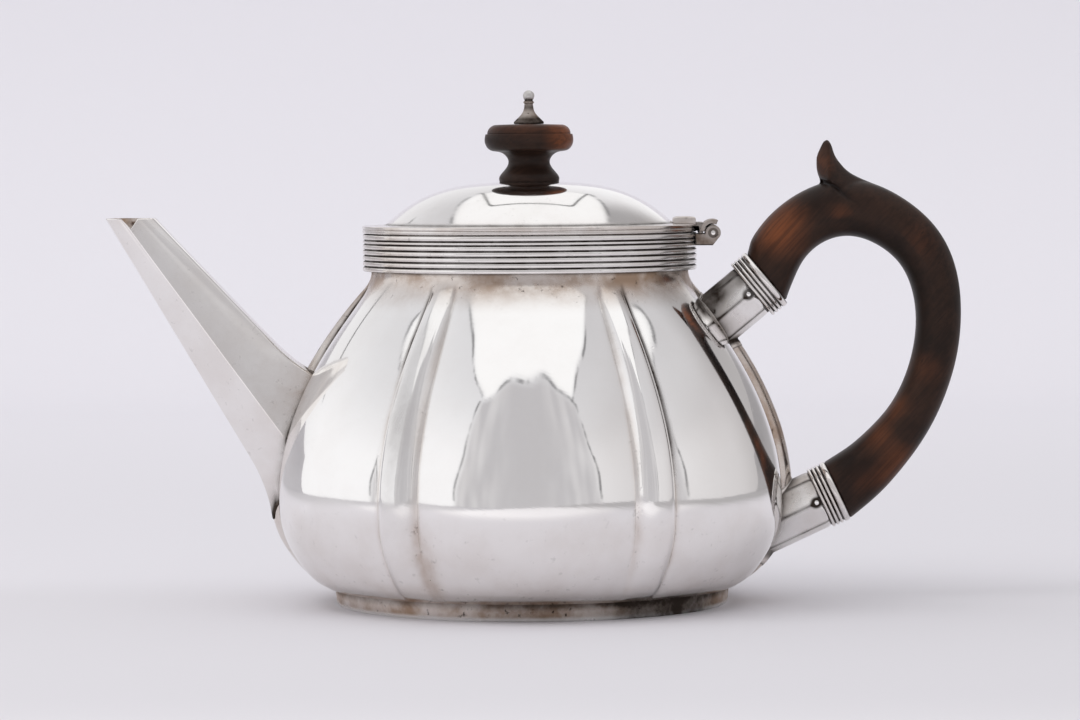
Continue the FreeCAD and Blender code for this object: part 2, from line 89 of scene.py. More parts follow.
def patch_faces(part, first):
    """Corner numbers of the quads and end caps, turned so that they enclose a positive volume."""
    spots = part["points"].reshape(-1, 3)
    index = np.arange(len(spots)).reshape(part["points"].shape[:2])
    caps = [index[0][::-1], index[-1]] if part["caps"] else []
    if part["around"]:
        index = np.hstack([index, index[:, :1]])
    if part["loop"]:
        index = np.vstack([index, index[:1]])
    corners = [index[:-1, :-1], index[:-1, 1:], index[1:, 1:], index[1:, :-1]]
    quads = np.stack(corners, axis=-1).reshape(-1, 4)
    a, b, c, d = np.moveaxis((spots - spots.mean(axis=0))[quads], 1, 0)
    volume = (a * np.cross(b, c)).sum() + (a * np.cross(c, d)).sum()
    turn = -1 if volume < 0 else 1
    return quads[:, ::turn] + first, [cap[::turn] + first for cap in caps]


square = patch(np.array([[(0, 0, 0), (1, 0, 0)], [(0, 1, 0), (1, 1, 0)]], float), around=False)
print("one quad joins the corners", patch_faces(square, 0)[0].tolist())


# %% One mesh from its patches
def paint(mesh, mask, values):
    """Store one number per point as a named attribute."""
    layer = mesh.attributes.get(mask) or mesh.attributes.new(mask, "FLOAT", "POINT")
    layer.data.foreach_set("value", np.asarray(values, np.float32).ravel())


def merge_doubles(mesh):
    """Close seams and poles: points nearer than a micrometre become one."""
    work = bmesh.new()
    work.from_mesh(mesh)
    bmesh.ops.remove_doubles(work, verts=work.verts, dist=MM * 0.001)
    bmesh.ops.dissolve_degenerate(work, edges=work.edges, dist=MM * 0.0005)
    work.to_mesh(mesh)
    work.free()


def make_mesh(name, patches, crisp=False):
    """Mesh of several patches, with the masks as point attributes and doubled points merged.

    A crisp mesh keeps its flat faces flat up to the rounded edges.
    """
    crisp_angle = np.radians(25)
    first = 0
    runs = []
    sizes = []
    for part in patches:
        quads, caps = patch_faces(part, first)
        runs += [quads.ravel()] + caps
        sizes += [np.full(len(quads), 4)] + [np.array([len(cap)]) for cap in caps]
        first += part["tarnish"].size
    corners = np.concatenate(runs)
    sizes = np.concatenate(sizes)
    mesh = bpy.data.meshes.new(name)
    mesh.vertices.add(first)
    places = np.concatenate([part["points"].ravel() for part in patches]) * MM
    mesh.vertices.foreach_set("co", places.astype(np.float32))
    mesh.loops.add(len(corners))
    mesh.loops.foreach_set("vertex_index", corners.astype(np.int32))
    mesh.polygons.add(len(sizes))
    mesh.polygons.foreach_set("loop_start", (np.cumsum(sizes) - sizes).astype(np.int32))
    mesh.update(calc_edges=True)
    for mask in ("tarnish", "grime_and_shade"):
        paint(mesh, mask, np.concatenate([part[mask].ravel() for part in patches]))
    merge_doubles(mesh)
    mesh.shade_smooth()
    if crisp:
        mesh.set_sharp_from_angle(angle=crisp_angle)
    return mesh


trial = make_mesh("trial", [square])
print("a mesh of that quad has", len(trial.vertices), "points and", len(trial.polygons), "face")


# %% One piece from a mesh
def new_object(name, data):
    """Object in the scene for a mesh, a lamp or a camera."""
    made = bpy.data.objects.new(name, data)
    bpy.context.scene.collection.objects.link(made)
    return made


def place(name, mesh, body, nodes, material):
    """Object for a mesh: it rides on a body and stands for CAD nodes."""
    piece = new_object(name, mesh)
    mesh.materials.append(material)
    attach(piece, body)
    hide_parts(*nodes)
    print(name, "faces:", len(mesh.polygons))


def silver_piece(name, patches, body, cad_node, finish, crisp=False):
    """Silver piece made of patches, in place of one CAD node."""
    place(name, make_mesh(name, patches, crisp), body, [cad_node], finish)


def spots_of(mesh):
    """Points of a mesh as an array, in millimetres."""
    values = np.empty(len(mesh.vertices) * 3, np.float32)
    mesh.vertices.foreach_get("co", values)
    return values.reshape(-1, 3).astype(float) / MM


print("its points in millimetres:", spots_of(trial).round(3).tolist())
bpy.data.meshes.remove(trial)

# %% [markdown]
# ## Profiles and paths
#
# Three ways of drawing cover the pot: a profile turned about an axis, an outline carried across, and
# an oval carried along a curve. Real edges are never sharp, so corners are rounded in the drawing
# itself, which catches light better than a bevel added later.


# %% Rounded outlines
def unit(vectors):
    """Vectors brought to a length of 1."""
    return vectors / np.linalg.norm(vectors, axis=-1, keepdims=True)


def bridge(start, corner, stop, steps):
    """Curve that rounds a corner: (1 - s)^2 start + 2 s (1 - s) corner + s^2 stop, s from 0 to 1."""
    start, corner, stop = (spot[..., None, :] for spot in (start, corner, stop))
    share = np.linspace(0, 1, steps)[:, None]
    return (1 - share) ** 2 * start + 2 * share * (1 - share) * corner + share**2 * stop


def rounded(corners, radius, steps=5):
    """Outline with each corner cut back by a radius, or by most of half a side, and bridged."""
    most_of_half = 0.45
    corners = np.asarray(corners, float)
    before = np.roll(corners, 1, axis=0) - corners
    after = np.roll(corners, -1, axis=0) - corners
    reach = [np.linalg.norm(side, axis=1, keepdims=True) for side in (before, after)]
    cut = np.minimum(np.reshape(radius, (-1, 1)), most_of_half * np.minimum(*reach))
    start = corners + before / reach[0] * cut
    stop = corners + after / reach[1] * cut
    return bridge(start, corners, stop, steps).reshape(-1, 2)


def box(left, right, low, high):
    """Four corners of an upright rectangle."""
    return [(left, low), (right, low), (right, high), (left, high)]


print("a rounded rectangle has", len(rounded(box(0, 2, 0, 1), 0.2)), "points")


# %% Turned shapes
def turns(count):
    """Angles of one full turn in even steps."""
    return np.linspace(0, 2 * np.pi, count, endpoint=False)


def about_axis(radius, turn, height):
    """Points round the Z axis: x = r cos t, y = r sin t, z = height."""
    return np.stack(np.broadcast_arrays(radius * np.cos(turn), radius * np.sin(turn), height), axis=-1)


def turn_of(points):
    """Angle of points round the Z axis, in degrees."""
    return np.degrees(np.arctan2(points[..., 1], points[..., 0]))


def spun(profile, segments=192):
    """Profile of (radius, height) turned about Z."""
    return about_axis(profile[:, :1], turns(segments), profile[:, 1:])


def spun_ring(inner, outer, low, high, edge=0.3, segments=192):
    """Turned ring with rounded edges."""
    return spun(rounded(box(inner, outer, low, high), edge), segments)


def refined(profile, step):
    """The same profile with extra points, none further apart than a step."""
    reach = np.linalg.norm(np.diff(profile, axis=0), axis=1)
    where = np.concatenate([[0], np.cumsum(reach)])
    spots = np.union1d(where, np.arange(0, where[-1], step))
    return np.stack([np.interp(spots, where, profile[:, axis]) for axis in (0, 1)], axis=1)


def steps_through(stops, counts):
    """Numbers from stop to stop, each stretch in its own count of even steps."""
    runs = [np.linspace(*ends) for ends in zip(stops, stops[1:], counts)]
    return np.concatenate([runs[0]] + [run[1:] for run in runs[1:]])


print("grid of a turned ring:", spun_ring(1, 2, 0, 1).shape)


# %% Planks carried across, and curves through points
def plank(outline, low, high, edge=0.25):
    """Outline in the middle plane carried along Y, drawn in a little at both ends as a rounded edge."""
    tangent = np.roll(outline, -1, axis=0) - np.roll(outline, 1, axis=0)
    normal = np.stack([tangent[:, 1], -tangent[:, 0]], axis=1)
    normal /= np.maximum(np.linalg.norm(normal, axis=1, keepdims=True), 1e-9)
    ahead = np.roll(outline, -1, axis=0)
    area = np.sum(outline[:, 0] * ahead[:, 1] - ahead[:, 0] * outline[:, 1])
    normal *= np.sign(area)
    bend = np.linspace(0, np.pi / 2, 4)
    inset = edge * (1 - np.sin(bend))
    depth = edge * (1 - np.cos(bend))
    inset = np.concatenate([inset, inset[::-1]])
    across = np.concatenate([low + depth, high - depth[::-1]])
    flat = outline[None] - normal[None] * inset[:, None, None]
    return np.stack(np.broadcast_arrays(flat[..., 0], across[:, None], flat[..., 1]), axis=-1)


def smooth_path(knots, count):
    """Natural cubic spline through the knots, in even steps of the running chord length."""
    knots = np.asarray(knots, float)
    chord = np.linalg.norm(np.diff(knots, axis=0), axis=1)
    where = np.concatenate([[0], np.cumsum(chord)])
    inner = np.arange(1, len(knots) - 1)
    system = np.eye(len(knots))
    system[inner, inner - 1] = chord[:-1]
    system[inner, inner] = 2 * (chord[:-1] + chord[1:])
    system[inner, inner + 1] = chord[1:]
    pull = np.zeros_like(knots)
    pull[1:-1] = 6 * np.diff(np.diff(knots, axis=0) / chord[:, None], axis=0)
    bend = np.linalg.solve(system, pull)
    spots = np.linspace(0, where[-1], count)
    span = np.clip(np.searchsorted(where, spots) - 1, 0, len(knots) - 2)
    length = chord[span][:, None]
    left = (spots - where[span])[:, None]
    rest = length - left
    cubic = (bend[span] * rest**3 + bend[span + 1] * left**3) / (6 * length)
    from_left = (knots[span] / length - bend[span] * length / 6) * rest
    from_right = (knots[span + 1] / length - bend[span + 1] * length / 6) * left
    return cubic + from_left + from_right


print("halfway along a bow:", smooth_path([(0, 0), (1, 1), (2, 0)], 3)[1])


# %% Soft steps, bumps and the small waves of hand-worked metal
def soft_step(value, low, high):
    """0 below low, 1 above high, with a smooth S between."""
    share = np.clip((value - low) / (high - low), 0, 1)
    return share * share * (3 - 2 * share)


def soft_max(first, second, soft):
    """The larger of two values, with the valley where they cross filled to a soft width."""
    share = np.clip(0.5 + 0.5 * (first - second) / soft, 0, 1)
    return second + (first - second) * share + soft * share * (1 - share)


def soft_min(first, second, soft):
    """The smaller of two values, rounded where they cross."""
    return -soft_max(-first, -second, soft)


def hill(value, middle, spread):
    """Bell curve: 1 in the middle, fading over the spread."""
    return np.exp(-(((value - middle) / spread) ** 2))


def waves(points, length, seed, count=8):
    """Seeded plane waves of about one length, added up: a smooth unevenness between -1 and 1."""
    chance = np.random.default_rng(seed)
    heading = chance.normal(size=(count, 3))
    heading /= np.linalg.norm(heading, axis=1, keepdims=True)
    pace = 2 * np.pi / (length * chance.uniform(0.7, 1.5, count))
    phase = chance.uniform(0, 2 * np.pi, count)
    return np.sin(points @ (heading * pace[:, None]).T + phase).mean(axis=-1)


print("a soft step a quarter of the way up:", soft_step(0.25, 0, 1))

# %% [markdown]
# ## Silver
#
# Old silver is a mirror with a history: fine scratches from polishing, a warm film where the cloth
# doesn't reach, and dark dirt in the grooves. All silver pieces share that history, so it is one node
# group that puts out colour, roughness, metalness and height. Each material feeds its own Principled
# shader from it, which keeps the shader where the export can read it. Node sums are hard to read when
# each step is a call, so a small class lets them be written as formulas.
# Where a piece's masks say so, the same film and dirt colours also paint shade, light and reflections.


# %% Node values written as formulas
class Value:
    """A number, colour or vector that a node puts out; sums and products of it make Math nodes."""

    def __init__(self, socket):
        self.socket = socket

    def __add__(self, other):
        return math_node("ADD", self, other)

    def __sub__(self, other):
        return math_node("SUBTRACT", self, other)

    def __rsub__(self, other):
        return math_node("SUBTRACT", other, self)

    def __mul__(self, other):
        return math_node("MULTIPLY", self, other)

    def __truediv__(self, other):
        return math_node("DIVIDE", self, other)

    def __neg__(self):
        return self * -1.0

    def __abs__(self):
        return math_node("ABSOLUTE", self)

    __radd__ = __add__
    __rmul__ = __mul__


print("a node value:", Value.__doc__)


# %% Making and feeding nodes
def tree_of(*values):
    """Node tree that holds the first node value among these."""
    return next(value.socket.id_data for value in values if isinstance(value, Value))


def node(tree, kind, **settings):
    """New node with its settings; a setting named after an input sets that input's value."""
    made = tree.nodes.new(kind)
    for name, value in settings.items():
        label = name.replace("_", " ")
        if label in made.inputs:
            made.inputs[label].default_value = value
        else:
            setattr(made, name, value)
    return made


def put(value, socket):
    """Feed an input: a node value is linked to it, anything else becomes its own value."""
    if isinstance(value, Value):
        socket.id_data.links.new(value.socket, socket)
    else:
        socket.default_value = value


def math_node(operation, *values, clamp=False):
    """Math node on numbers and node values."""
    made = node(tree_of(*values), "ShaderNodeMath", operation=operation, use_clamp=clamp)
    for value, socket in zip(values, made.inputs):
        put(value, socket)
    return Value(made.outputs[0])


trial_tree = bpy.data.node_groups.new("trial", "ShaderNodeTree")
trial_value = Value(node(trial_tree, "ShaderNodeValue").outputs[0])
trial_line = 1.0 - 2.0 * trial_value
print("1 - 2 x is made of", [made.name for made in trial_tree.nodes])


# %% Nodes for numbers
def smallest(first, second):
    """The smaller of two values."""
    return math_node("MINIMUM", first, second)


def largest(first, second):
    """The larger of two values."""
    return math_node("MAXIMUM", first, second)


def clamped(value):
    """A value held between 0 and 1."""
    return math_node("ADD", value, 0.0, clamp=True)


def ramp(value, low, high):
    """Map a value from low..high to 0..1 with a smooth step."""
    settings = {"interpolation_type": "SMOOTHSTEP", "From_Min": low, "From_Max": high}
    made = node(tree_of(value), "ShaderNodeMapRange", **settings)
    put(value, made.inputs["Value"])
    return Value(made.outputs[0])


print("a ramp over it is a node named", ramp(trial_line, 0, 1).socket.node.name)


# %% Nodes for colours and patterns
def mix_colour(share, first, second, blend="MIX"):
    """Colour mix; the share and both colours are plain or node values."""
    made = node(tree_of(share, first, second), "ShaderNodeMix", data_type="RGBA", blend_type=blend)
    for value, number in ((share, 0), (first, 6), (second, 7)):
        put(value, made.inputs[number])
    return Value(made.outputs[2])


def noise(vector, scale, detail=4.0, roughness=0.55):
    """Smooth random pattern over a vector, about 0.5 on average."""
    made = node(tree_of(vector), "ShaderNodeTexNoise", Scale=scale, Detail=detail, Roughness=roughness)
    put(vector, made.inputs["Vector"])
    return Value(made.outputs[0])


def stretched(vector, size, turn):
    """Vector in a turned frame of its own size, which draws a pattern out along the longest side."""
    made = node(tree_of(vector), "ShaderNodeMapping", vector_type="TEXTURE")
    for label, value in (("Vector", vector), ("Scale", size), ("Rotation", turn)):
        put(value, made.inputs[label])
    return Value(made.outputs[0])


def coordinates(tree, kind):
    """Place or direction of the point that is shaded."""
    return Value(tree.nodes.new("ShaderNodeTexCoord").outputs[kind])


def mask_of(tree, name):
    """A mask that was painted on the points."""
    return Value(node(tree, "ShaderNodeAttribute", attribute_name=name).outputs["Fac"])


trial_noise = noise(coordinates(trial_tree, "Object"), 1.0)
print("noise over the object's own place is a node named", trial_noise.socket.node.name)
bpy.data.node_groups.remove(trial_tree)


# %% The patina group
def new_group(name, inputs, outputs):
    """Empty shader group with named sockets: its tree, its inputs as values and its result's sockets."""
    tree = bpy.data.node_groups.new(name, "ShaderNodeTree")
    for label, kind, value in inputs:
        socket = tree.interface.new_socket(label, in_out="INPUT", socket_type=f"NodeSocket{kind}")
        socket.default_value = value
    for label, kind in outputs:
        tree.interface.new_socket(label, in_out="OUTPUT", socket_type=f"NodeSocket{kind}")
    sockets = tree.nodes.new("NodeGroupInput").outputs
    given = {label: Value(sockets[label]) for label, _, _ in inputs}
    return tree, given, tree.nodes.new("NodeGroupOutput").inputs


def patina_group():
    """Colour, roughness, metalness and height of polished silver under film, dirt, scratches and pits; the
    masks also paint shade with the film and dirt colours.
    """
    inputs = [
        ("Silver", "Color", (0.955, 0.94, 0.925, 1)),
        ("Film_and_shade", "Color", (0.42, 0.30, 0.22, 1)),
        ("Dirt_and_shade", "Color", (0.026, 0.017, 0.012, 1)),
        ("Polish", "Float", 0.06),
        ("Haze", "Float", 0.1),
        ("Scratches", "Float", 1.0),
    ]
    outputs = [("Color", "Color"), ("Roughness", "Float"), ("Metallic", "Float"), ("Height", "Float")]
    tree, given, result = new_group("silver patina", inputs, outputs)
    where = coordinates(tree, "Object")
    film_and_shade_mask, dirt_and_shade_mask = mask_of(tree, "tarnish"), mask_of(tree, "grime_and_shade")
    clouds = ramp(noise(where, scale=70.0, detail=6.0, roughness=0.62), 0.36, 0.68)
    specks = ramp(noise(where, scale=420.0, detail=3.0, roughness=0.6), 0.62, 0.74)
    haze = clouds * given["Haze"]
    # The film and dirt masks hold real tarnish and dirt, and on some pieces painted shade, painted light and
    # painted reflection as well.
    film_and_shade = clamped(film_and_shade_mask * (0.55 * clouds + 0.52) + 0.35 * haze)
    dirt_and_shade = clamped(dirt_and_shade_mask * (0.4 * clouds + 0.8) + 0.8 * specks * film_and_shade_mask)
    colour = mix_colour(film_and_shade, given["Silver"], given["Film_and_shade"])
    put(mix_colour(dirt_and_shade, colour, given["Dirt_and_shade"]), result["Color"])
    put(given["Polish"] + 0.3 * film_and_shade + 0.4 * dirt_and_shade + 0.15 * haze, result["Roughness"])
    put(1.0 - 0.75 * dirt_and_shade, result["Metallic"])
    brushed = stretched(where, (0.012, 0.012, 0.0006), (0.15, 0.3, 0.2))
    lines = noise(brushed, scale=1.0, detail=2.0, roughness=0.5)
    pits = ramp(noise(where, scale=260.0, detail=1.0, roughness=0.4), 0.77, 0.82)
    put((0.25 * lines - pits) * given["Scratches"], result["Height"])
    return tree


patina = patina_group()
print("nodes in the patina group:", len(patina.nodes))


# %% Silver materials
def fed_material(name, group_tree, mirror, relief, **values):
    """Material whose Principled shader takes colour, roughness and height from a group."""
    material = bpy.data.materials.new(name)
    material.use_nodes = True
    tree = material.node_tree
    shader = tree.nodes["Principled BSDF"]
    group = node(tree, "ShaderNodeGroup", node_tree=group_tree, **values)
    bump = node(tree, "ShaderNodeBump", **relief)
    put(Value(group.outputs["Color"]), shader.inputs["Base Color"])
    put(Value(group.outputs["Roughness"]), shader.inputs["Roughness"])
    put(Value(group.outputs["Height"]), bump.inputs["Height"])
    put(Value(bump.outputs[0]), shader.inputs["Normal"])
    put(mirror, shader.inputs["Specular IOR Level"])
    return material, group, shader


def silver(name, **values):
    """Silver from the patina group; diffuse rays find no metal, so it passes light on without glints."""
    relief = {"Strength": 0.06, "Distance": 0.0002}
    material, group, shader = fed_material(name, patina, mirror=0.25, relief=relief, **values)
    light_path = material.node_tree.nodes.new("ShaderNodeLightPath")
    diffuse = Value(light_path.outputs["Is Diffuse Ray"])
    put(Value(group.outputs["Metallic"]) * (1.0 - diffuse), shader.inputs["Metallic"])
    return material


bright_silver = silver("bright_silver", Polish=0.05, Haze=0.10)
worn_silver = silver("worn_silver", Polish=0.13, Haze=0.35)
print("silver finishes:", bright_silver.name, worn_silver.name)

# %% [markdown]
# ## Wood
#
# Handle and knob are dark stained hardwood, worn back to red where hands have rubbed it. The grain is
# a noise stretched along one direction of the block, because such pieces are sawn from a board and
# the grain runs straight through the curve. Both pieces share it as a group; a mask says where the
# stain has gone, and where that mask is below zero it is painted shade, mixing towards the pore colour.


# %% The wood group and materials
def wood_group():
    """Colour, roughness and height of dark wood, with straight pores, a worn, redder ground, and painted
    shade where the mask is below zero.
    """
    inputs = [
        ("Stain", "Color", (0.015, 0.0082, 0.006, 1)),
        ("Brown", "Color", (0.040, 0.0195, 0.0125, 1)),
        ("Red", "Color", (0.20, 0.060, 0.021, 1)),
        ("Turn", "Vector", (0, 0, 0)),
    ]
    outputs = [("Color", "Color"), ("Roughness", "Float"), ("Height", "Float")]
    pore_and_shade_colour = (0.006, 0.004, 0.0035, 1)
    tree, given, result = new_group("dark wood", inputs, outputs)
    where = coordinates(tree, "Object")
    worn_and_shade = mask_of(tree, "worn_and_shade")
    grain = stretched(where, (0.0010, 0.0010, 0.022), given["Turn"])
    streaks = noise(grain, scale=1.0, detail=5.0, roughness=0.6)
    clouds = noise(where, scale=75.0)
    fibres = ramp(streaks, 0.36, 0.62)
    pores = ramp(streaks, 0.60, 0.72)
    wear = clamped(worn_and_shade * (0.4 * fibres + 0.45) * (clouds + 0.55))
    figure = 0.8 * clouds + 0.4 * streaks
    colour = mix_colour(ramp(figure, 0.45, 0.85), given["Stain"], given["Brown"])
    colour = mix_colour(wear, colour, given["Red"])
    # Where the mask is below zero it paints shade, mixing the wood towards the pore colour.
    colour = mix_colour(largest(0.6 * pores, -0.9 * worn_and_shade), colour, pore_and_shade_colour)
    put(colour, result["Color"])
    put(0.2 * clouds + 0.3, result["Roughness"])
    put(0.4 * clouds - pores, result["Height"])
    return tree


wood_figure = wood_group()
wood_mirror, wood_relief = 0.16, {"Strength": 0.12, "Distance": 0.0003}
handle_wood = fed_material("handle_wood", wood_figure, wood_mirror, wood_relief, Turn=(0, 0.75, 0))[0]
knob_wood = fed_material("knob_wood", wood_figure, wood_mirror, wood_relief, Turn=(0, 1.45, 0.3))[0]
print("wood finishes:", handle_wood.name, knob_wood.name)

# %% [markdown]
# ## The body
#
# The body is raised from one sheet: six wide lobes between six narrow ribs, one rib under the spout and
# one under the handle. A loft through sections would do, but then creases are sharp or lost. Here the
# radius is a function of turn and height: a power curve for the crowns of the ribs, less a relief that
# is the higher of a rib curve and a lobe curve, blended where they meet so that the crease is a small
# round valley. The relief fades towards foot and neck, and just above the foot the wall tucks in.

# %% Body sizes and radius
foot_height, belly_height, shoulder_top, rim_height = 5.3, 33.0, 97.0, 110.9
underside_radius, belly_radius, neck_radius = 60.2, 78.3, 47.5
shoulder_power, underside_power, rib_power = 1.93, 2.45, 3.2
underside_low, tuck_top, tuck_depth = 3.9, 8.5, 1.2
fullness, fullness_height, fullness_spread = 0.45, 9.5, 3.5
crease_depth, crease_width, lobe_rise, neck_blend = 4.0, 1.3, 0.3, 2.4
body_wall = 1.0
panel = np.pi / 3
rib_half = np.radians(4.9)


def crown_radius(height):
    """Radius of the rib crowns: power curves up to the neck and down, tucked in above the foot."""
    up = np.maximum(height - belly_height, 0) / (shoulder_top - belly_height)
    down = np.maximum(belly_height - height, 0) / (belly_height - underside_low)
    tuck = np.maximum(tuck_top - height, 0) / (tuck_top - foot_height)
    shoulder = belly_radius - (belly_radius - neck_radius) * up**shoulder_power
    underside = belly_radius - (belly_radius - underside_radius) * down**underside_power
    underside = underside + fullness * hill(height, fullness_height, fullness_spread) - tuck_depth * tuck**2
    return np.where(height >= belly_height, shoulder, underside)


def relief_fade(height):
    """1 at the belly, 0 at the foot and at the top of the shoulder, where the ribs end round."""
    up = np.clip((height - belly_height) / (shoulder_top - belly_height), 0, 1)
    down = np.clip((belly_height - height) / (belly_height - foot_height), 0, 1)
    return np.where(height >= belly_height, 1 - up**8, 1 - down**3)


def rib_offset(turn):
    """Angle to the nearest rib."""
    return np.abs((turn + panel / 2) % panel - panel / 2)


def body_radius(turn, height):
    """Crown radius less the relief, blended into the upright neck."""
    fade = relief_fade(height)
    crown = crown_radius(height)
    offset = rib_offset(turn)
    rib = crown - crease_depth * fade * (offset / rib_half) ** rib_power
    inward = (panel / 2 - offset) / (panel / 2 - rib_half)
    lobe = crown + lobe_rise * fade - (crease_depth + lobe_rise) * fade * inward**2
    return soft_max(soft_max(rib, lobe, crease_width * fade + 0.02), neck_radius, neck_blend)


print("radius at the belly, rib and lobe:", body_radius(np.array([0, panel / 2]), np.array(belly_height)))


# %% Body surface
def body_points(heights, inset):
    """Columns crowd towards the ribs; every point is moved a little by waves, as hammering leaves it."""
    spread = np.linspace(-1, 1, 80, endpoint=False)
    within = panel / 2 * (0.42 * spread + 0.58 * spread**3)
    turn = (np.arange(6)[:, None] * panel + within).ravel()
    height = heights[:, None]
    radius = body_radius(turn, height) - inset
    spots = about_axis(radius, turn, height)
    uneven = 0.105 * waves(spots, length=27.0, seed=4) + 0.022 * waves(spots, length=11.0, seed=9)
    return about_axis(radius + uneven * soft_step(shoulder_top - height, 0, 12), turn, height)


outer_heights = steps_through([foot_height, 9, belly_height, 86, 101, rim_height], [12, 26, 40, 28, 5])
inner_heights = np.concatenate([np.linspace(rim_height, 101, 4), np.linspace(99, foot_height + 0.2, 30)])
body_outside = body_points(outer_heights, 0)
body_inside = body_points(inner_heights, body_wall)
print("rows and columns outside:", body_outside.shape[:2])


# %% Tarnish on the body
def body_crease(points):
    """1 along the valleys beside the ribs, fading with the relief."""
    turn = np.radians(turn_of(points))
    return hill(rib_offset(turn), rib_half, 0.013) * relief_fade(points[..., 2])


def body_film_and_shade(points):
    """Warm film: under the collar, low down, on the two joint ribs, round the spout, in the creases, and
    painted shade on the right-front of the neck.
    """
    x, y, z = np.moveaxis(points, -1, 0)
    turn = turn_of(points)
    # The hill at -25 degrees is painted shade on the right-front of the neck.
    collar_film = 0.9 * soft_step(z, 88, 98) + 0.25 * hill(turn, -25, 16) * soft_step(z, 90, 97)
    low_film = 0.3 * soft_step(14 - z, 0, 12) + 0.12 * soft_step(36 - z, 0, 10)
    handle_film = 0.95 * hill(turn, 0, 8)
    spout_film = 0.55 * hill(np.hypot(y, z - 45), 0, 22) * (x < 0)
    spout_film = spout_film + 0.8 * hill(np.abs(turn), 180, 5) * soft_step(z, 56, 64)
    streaks = hill(turn, -113.5, 2.4) + 0.5 * hill(turn, 66.5, 2.4)
    streak_film = 0.38 * streaks * hill(z, 15, 11)
    return collar_film + low_film + handle_film + spout_film + streak_film + 0.35 * body_crease(points)


def body_dirt_and_reflection(points):
    """Dark dirt in the creases, heavy in three of them, on the spout rib and under the collar; painted
    reflection darkens the rib at -120 degrees.
    """
    z = points[..., 2]
    turn = turn_of(points)
    from_handle = np.abs(turn)
    crease = body_crease(points)
    beside_spout = hill(from_handle, 180 - np.degrees(rib_half), 2.2) * hill(z, 82, 17)
    crease_dirt = crease * (0.45 * soft_step(z, 70, 92) + 0.9 * beside_spout)
    heavy = hill(turn, -55.1, 0.8) * soft_step(z, 34, 62)
    heavy = heavy + (hill(turn, -124.9, 0.7) + hill(turn, -175.1, 0.7)) * soft_step(z, 66, 82)
    spout_dirt = 0.3 * hill(from_handle, 180, 5) * soft_step(z, 56, 64) * soft_step(100 - z, 0, 6)
    # Painted reflection: the crown of the rib at -120 degrees is made darker.
    rib_painted_reflection = 0.3 * hill(turn, -120, 3.4) * hill(z, 58, 24)
    collar_dirt = 0.8 * soft_step(z, 99, 100.5)
    return crease_dirt + 1.7 * heavy * relief_fade(z) + spout_dirt + rib_painted_reflection + collar_dirt


inside_film, inside_dirt = (np.full(body_inside.shape[:2], share) for share in (0.7, 0.1))
shell = patch(
    np.concatenate([body_outside, body_inside]),
    loop=True,
    tarnish=np.concatenate([body_film_and_shade(body_outside), inside_film]),
    grime_and_shade=np.concatenate([body_dirt_and_reflection(body_outside), inside_dirt]),
)
body_mesh = make_mesh("pot_body", [shell])
print("points of the body:", len(body_mesh.vertices))

# %% [markdown]
# ## The strainer
#
# Behind the spout the wall is drilled with small holes that hold the leaves back. They could be a
# pattern in the material, but tea has to pass, and with the lid open light shows through. So round pegs
# are cut out of the mesh by a boolean, in staggered rows.


# %% Strainer holes behind the spout
def strainer_pegs(radius, pitch, middle):
    """Pegs along X in five staggered rows, one for each hole to be cut."""
    peg_start, peg_length = 60, 20
    counts = np.array([2, 3, 4, 3, 2])
    row = np.repeat(np.arange(5), counts)
    column = np.arange(len(row)) - np.repeat(np.cumsum(counts) - counts, counts)
    side = (column - (counts[row] - 1) / 2) * pitch
    height = middle + (row - 2) * pitch * np.cos(np.pi / 6)
    peg = spun(np.array([(0, 0), (radius, 0), (radius, peg_length), (0, peg_length)], float), 24)
    lying = np.stack([-peg_start - peg[..., 2], peg[..., 0], peg[..., 1]], axis=-1)
    return [patch(lying + np.array([0, y, z])) for y, z in zip(side, height)]


def with_modifiers(work):
    """Mesh of an object as its modifiers leave it; the object itself goes."""
    graph = bpy.context.evaluated_depsgraph_get()
    made = bpy.data.meshes.new_from_object(work.evaluated_get(graph))
    bpy.data.objects.remove(work)
    return made


def pierced(mesh, pegs):
    """The mesh with the pegs cut out of it by a boolean."""
    work, cutter = (new_object(part.name, part) for part in (mesh, pegs))
    cut = work.modifiers.new("holes", "BOOLEAN")
    cut.operation, cut.solver, cut.object = "DIFFERENCE", "EXACT", cutter
    made = with_modifiers(work)
    bpy.data.objects.remove(cutter)
    made.set_sharp_from_angle(angle=np.radians(40))
    return made


spout_root_height = 53.0
pegs = strainer_pegs(radius=1.5, pitch=4.6, middle=spout_root_height)
pierced_mesh = pierced(body_mesh, make_mesh("pegs", pegs))
print("points before and after piercing:", len(body_mesh.vertices), len(pierced_mesh.vertices))
place("pot_body", pierced_mesh, "pot", ["body_shell"], bright_silver)

# %% [markdown]
# ## Foot ring, base and collar
#
# The foot is a low turned ring, dulled and browned by years of wet trays, with painted shade on its
# right-front side and painted light on its left-front; a flat bottom closes the body above it. The
# collar is a stack of flat half-round reeds. Reeds could be a bump in the material, but they show in
# outline and in shadow, so they are turned into the profile, each as half of a flattened oval.

# %% Foot ring and base
foot_inner, foot_low_radius, foot_top_radius, base_radius = 54.2, 58.7, 59.2, 59.1
foot_profile = rounded([
    (foot_inner, 0), (foot_low_radius, 0), (foot_top_radius, foot_height), (foot_inner, foot_height),
], [0.4, 0.4, 0.2, 0.2])
foot_points = spun(refined(foot_profile, 0.35), 256)
foot_turn = turn_of(foot_points)
foot_share = foot_points[..., 2] / foot_height
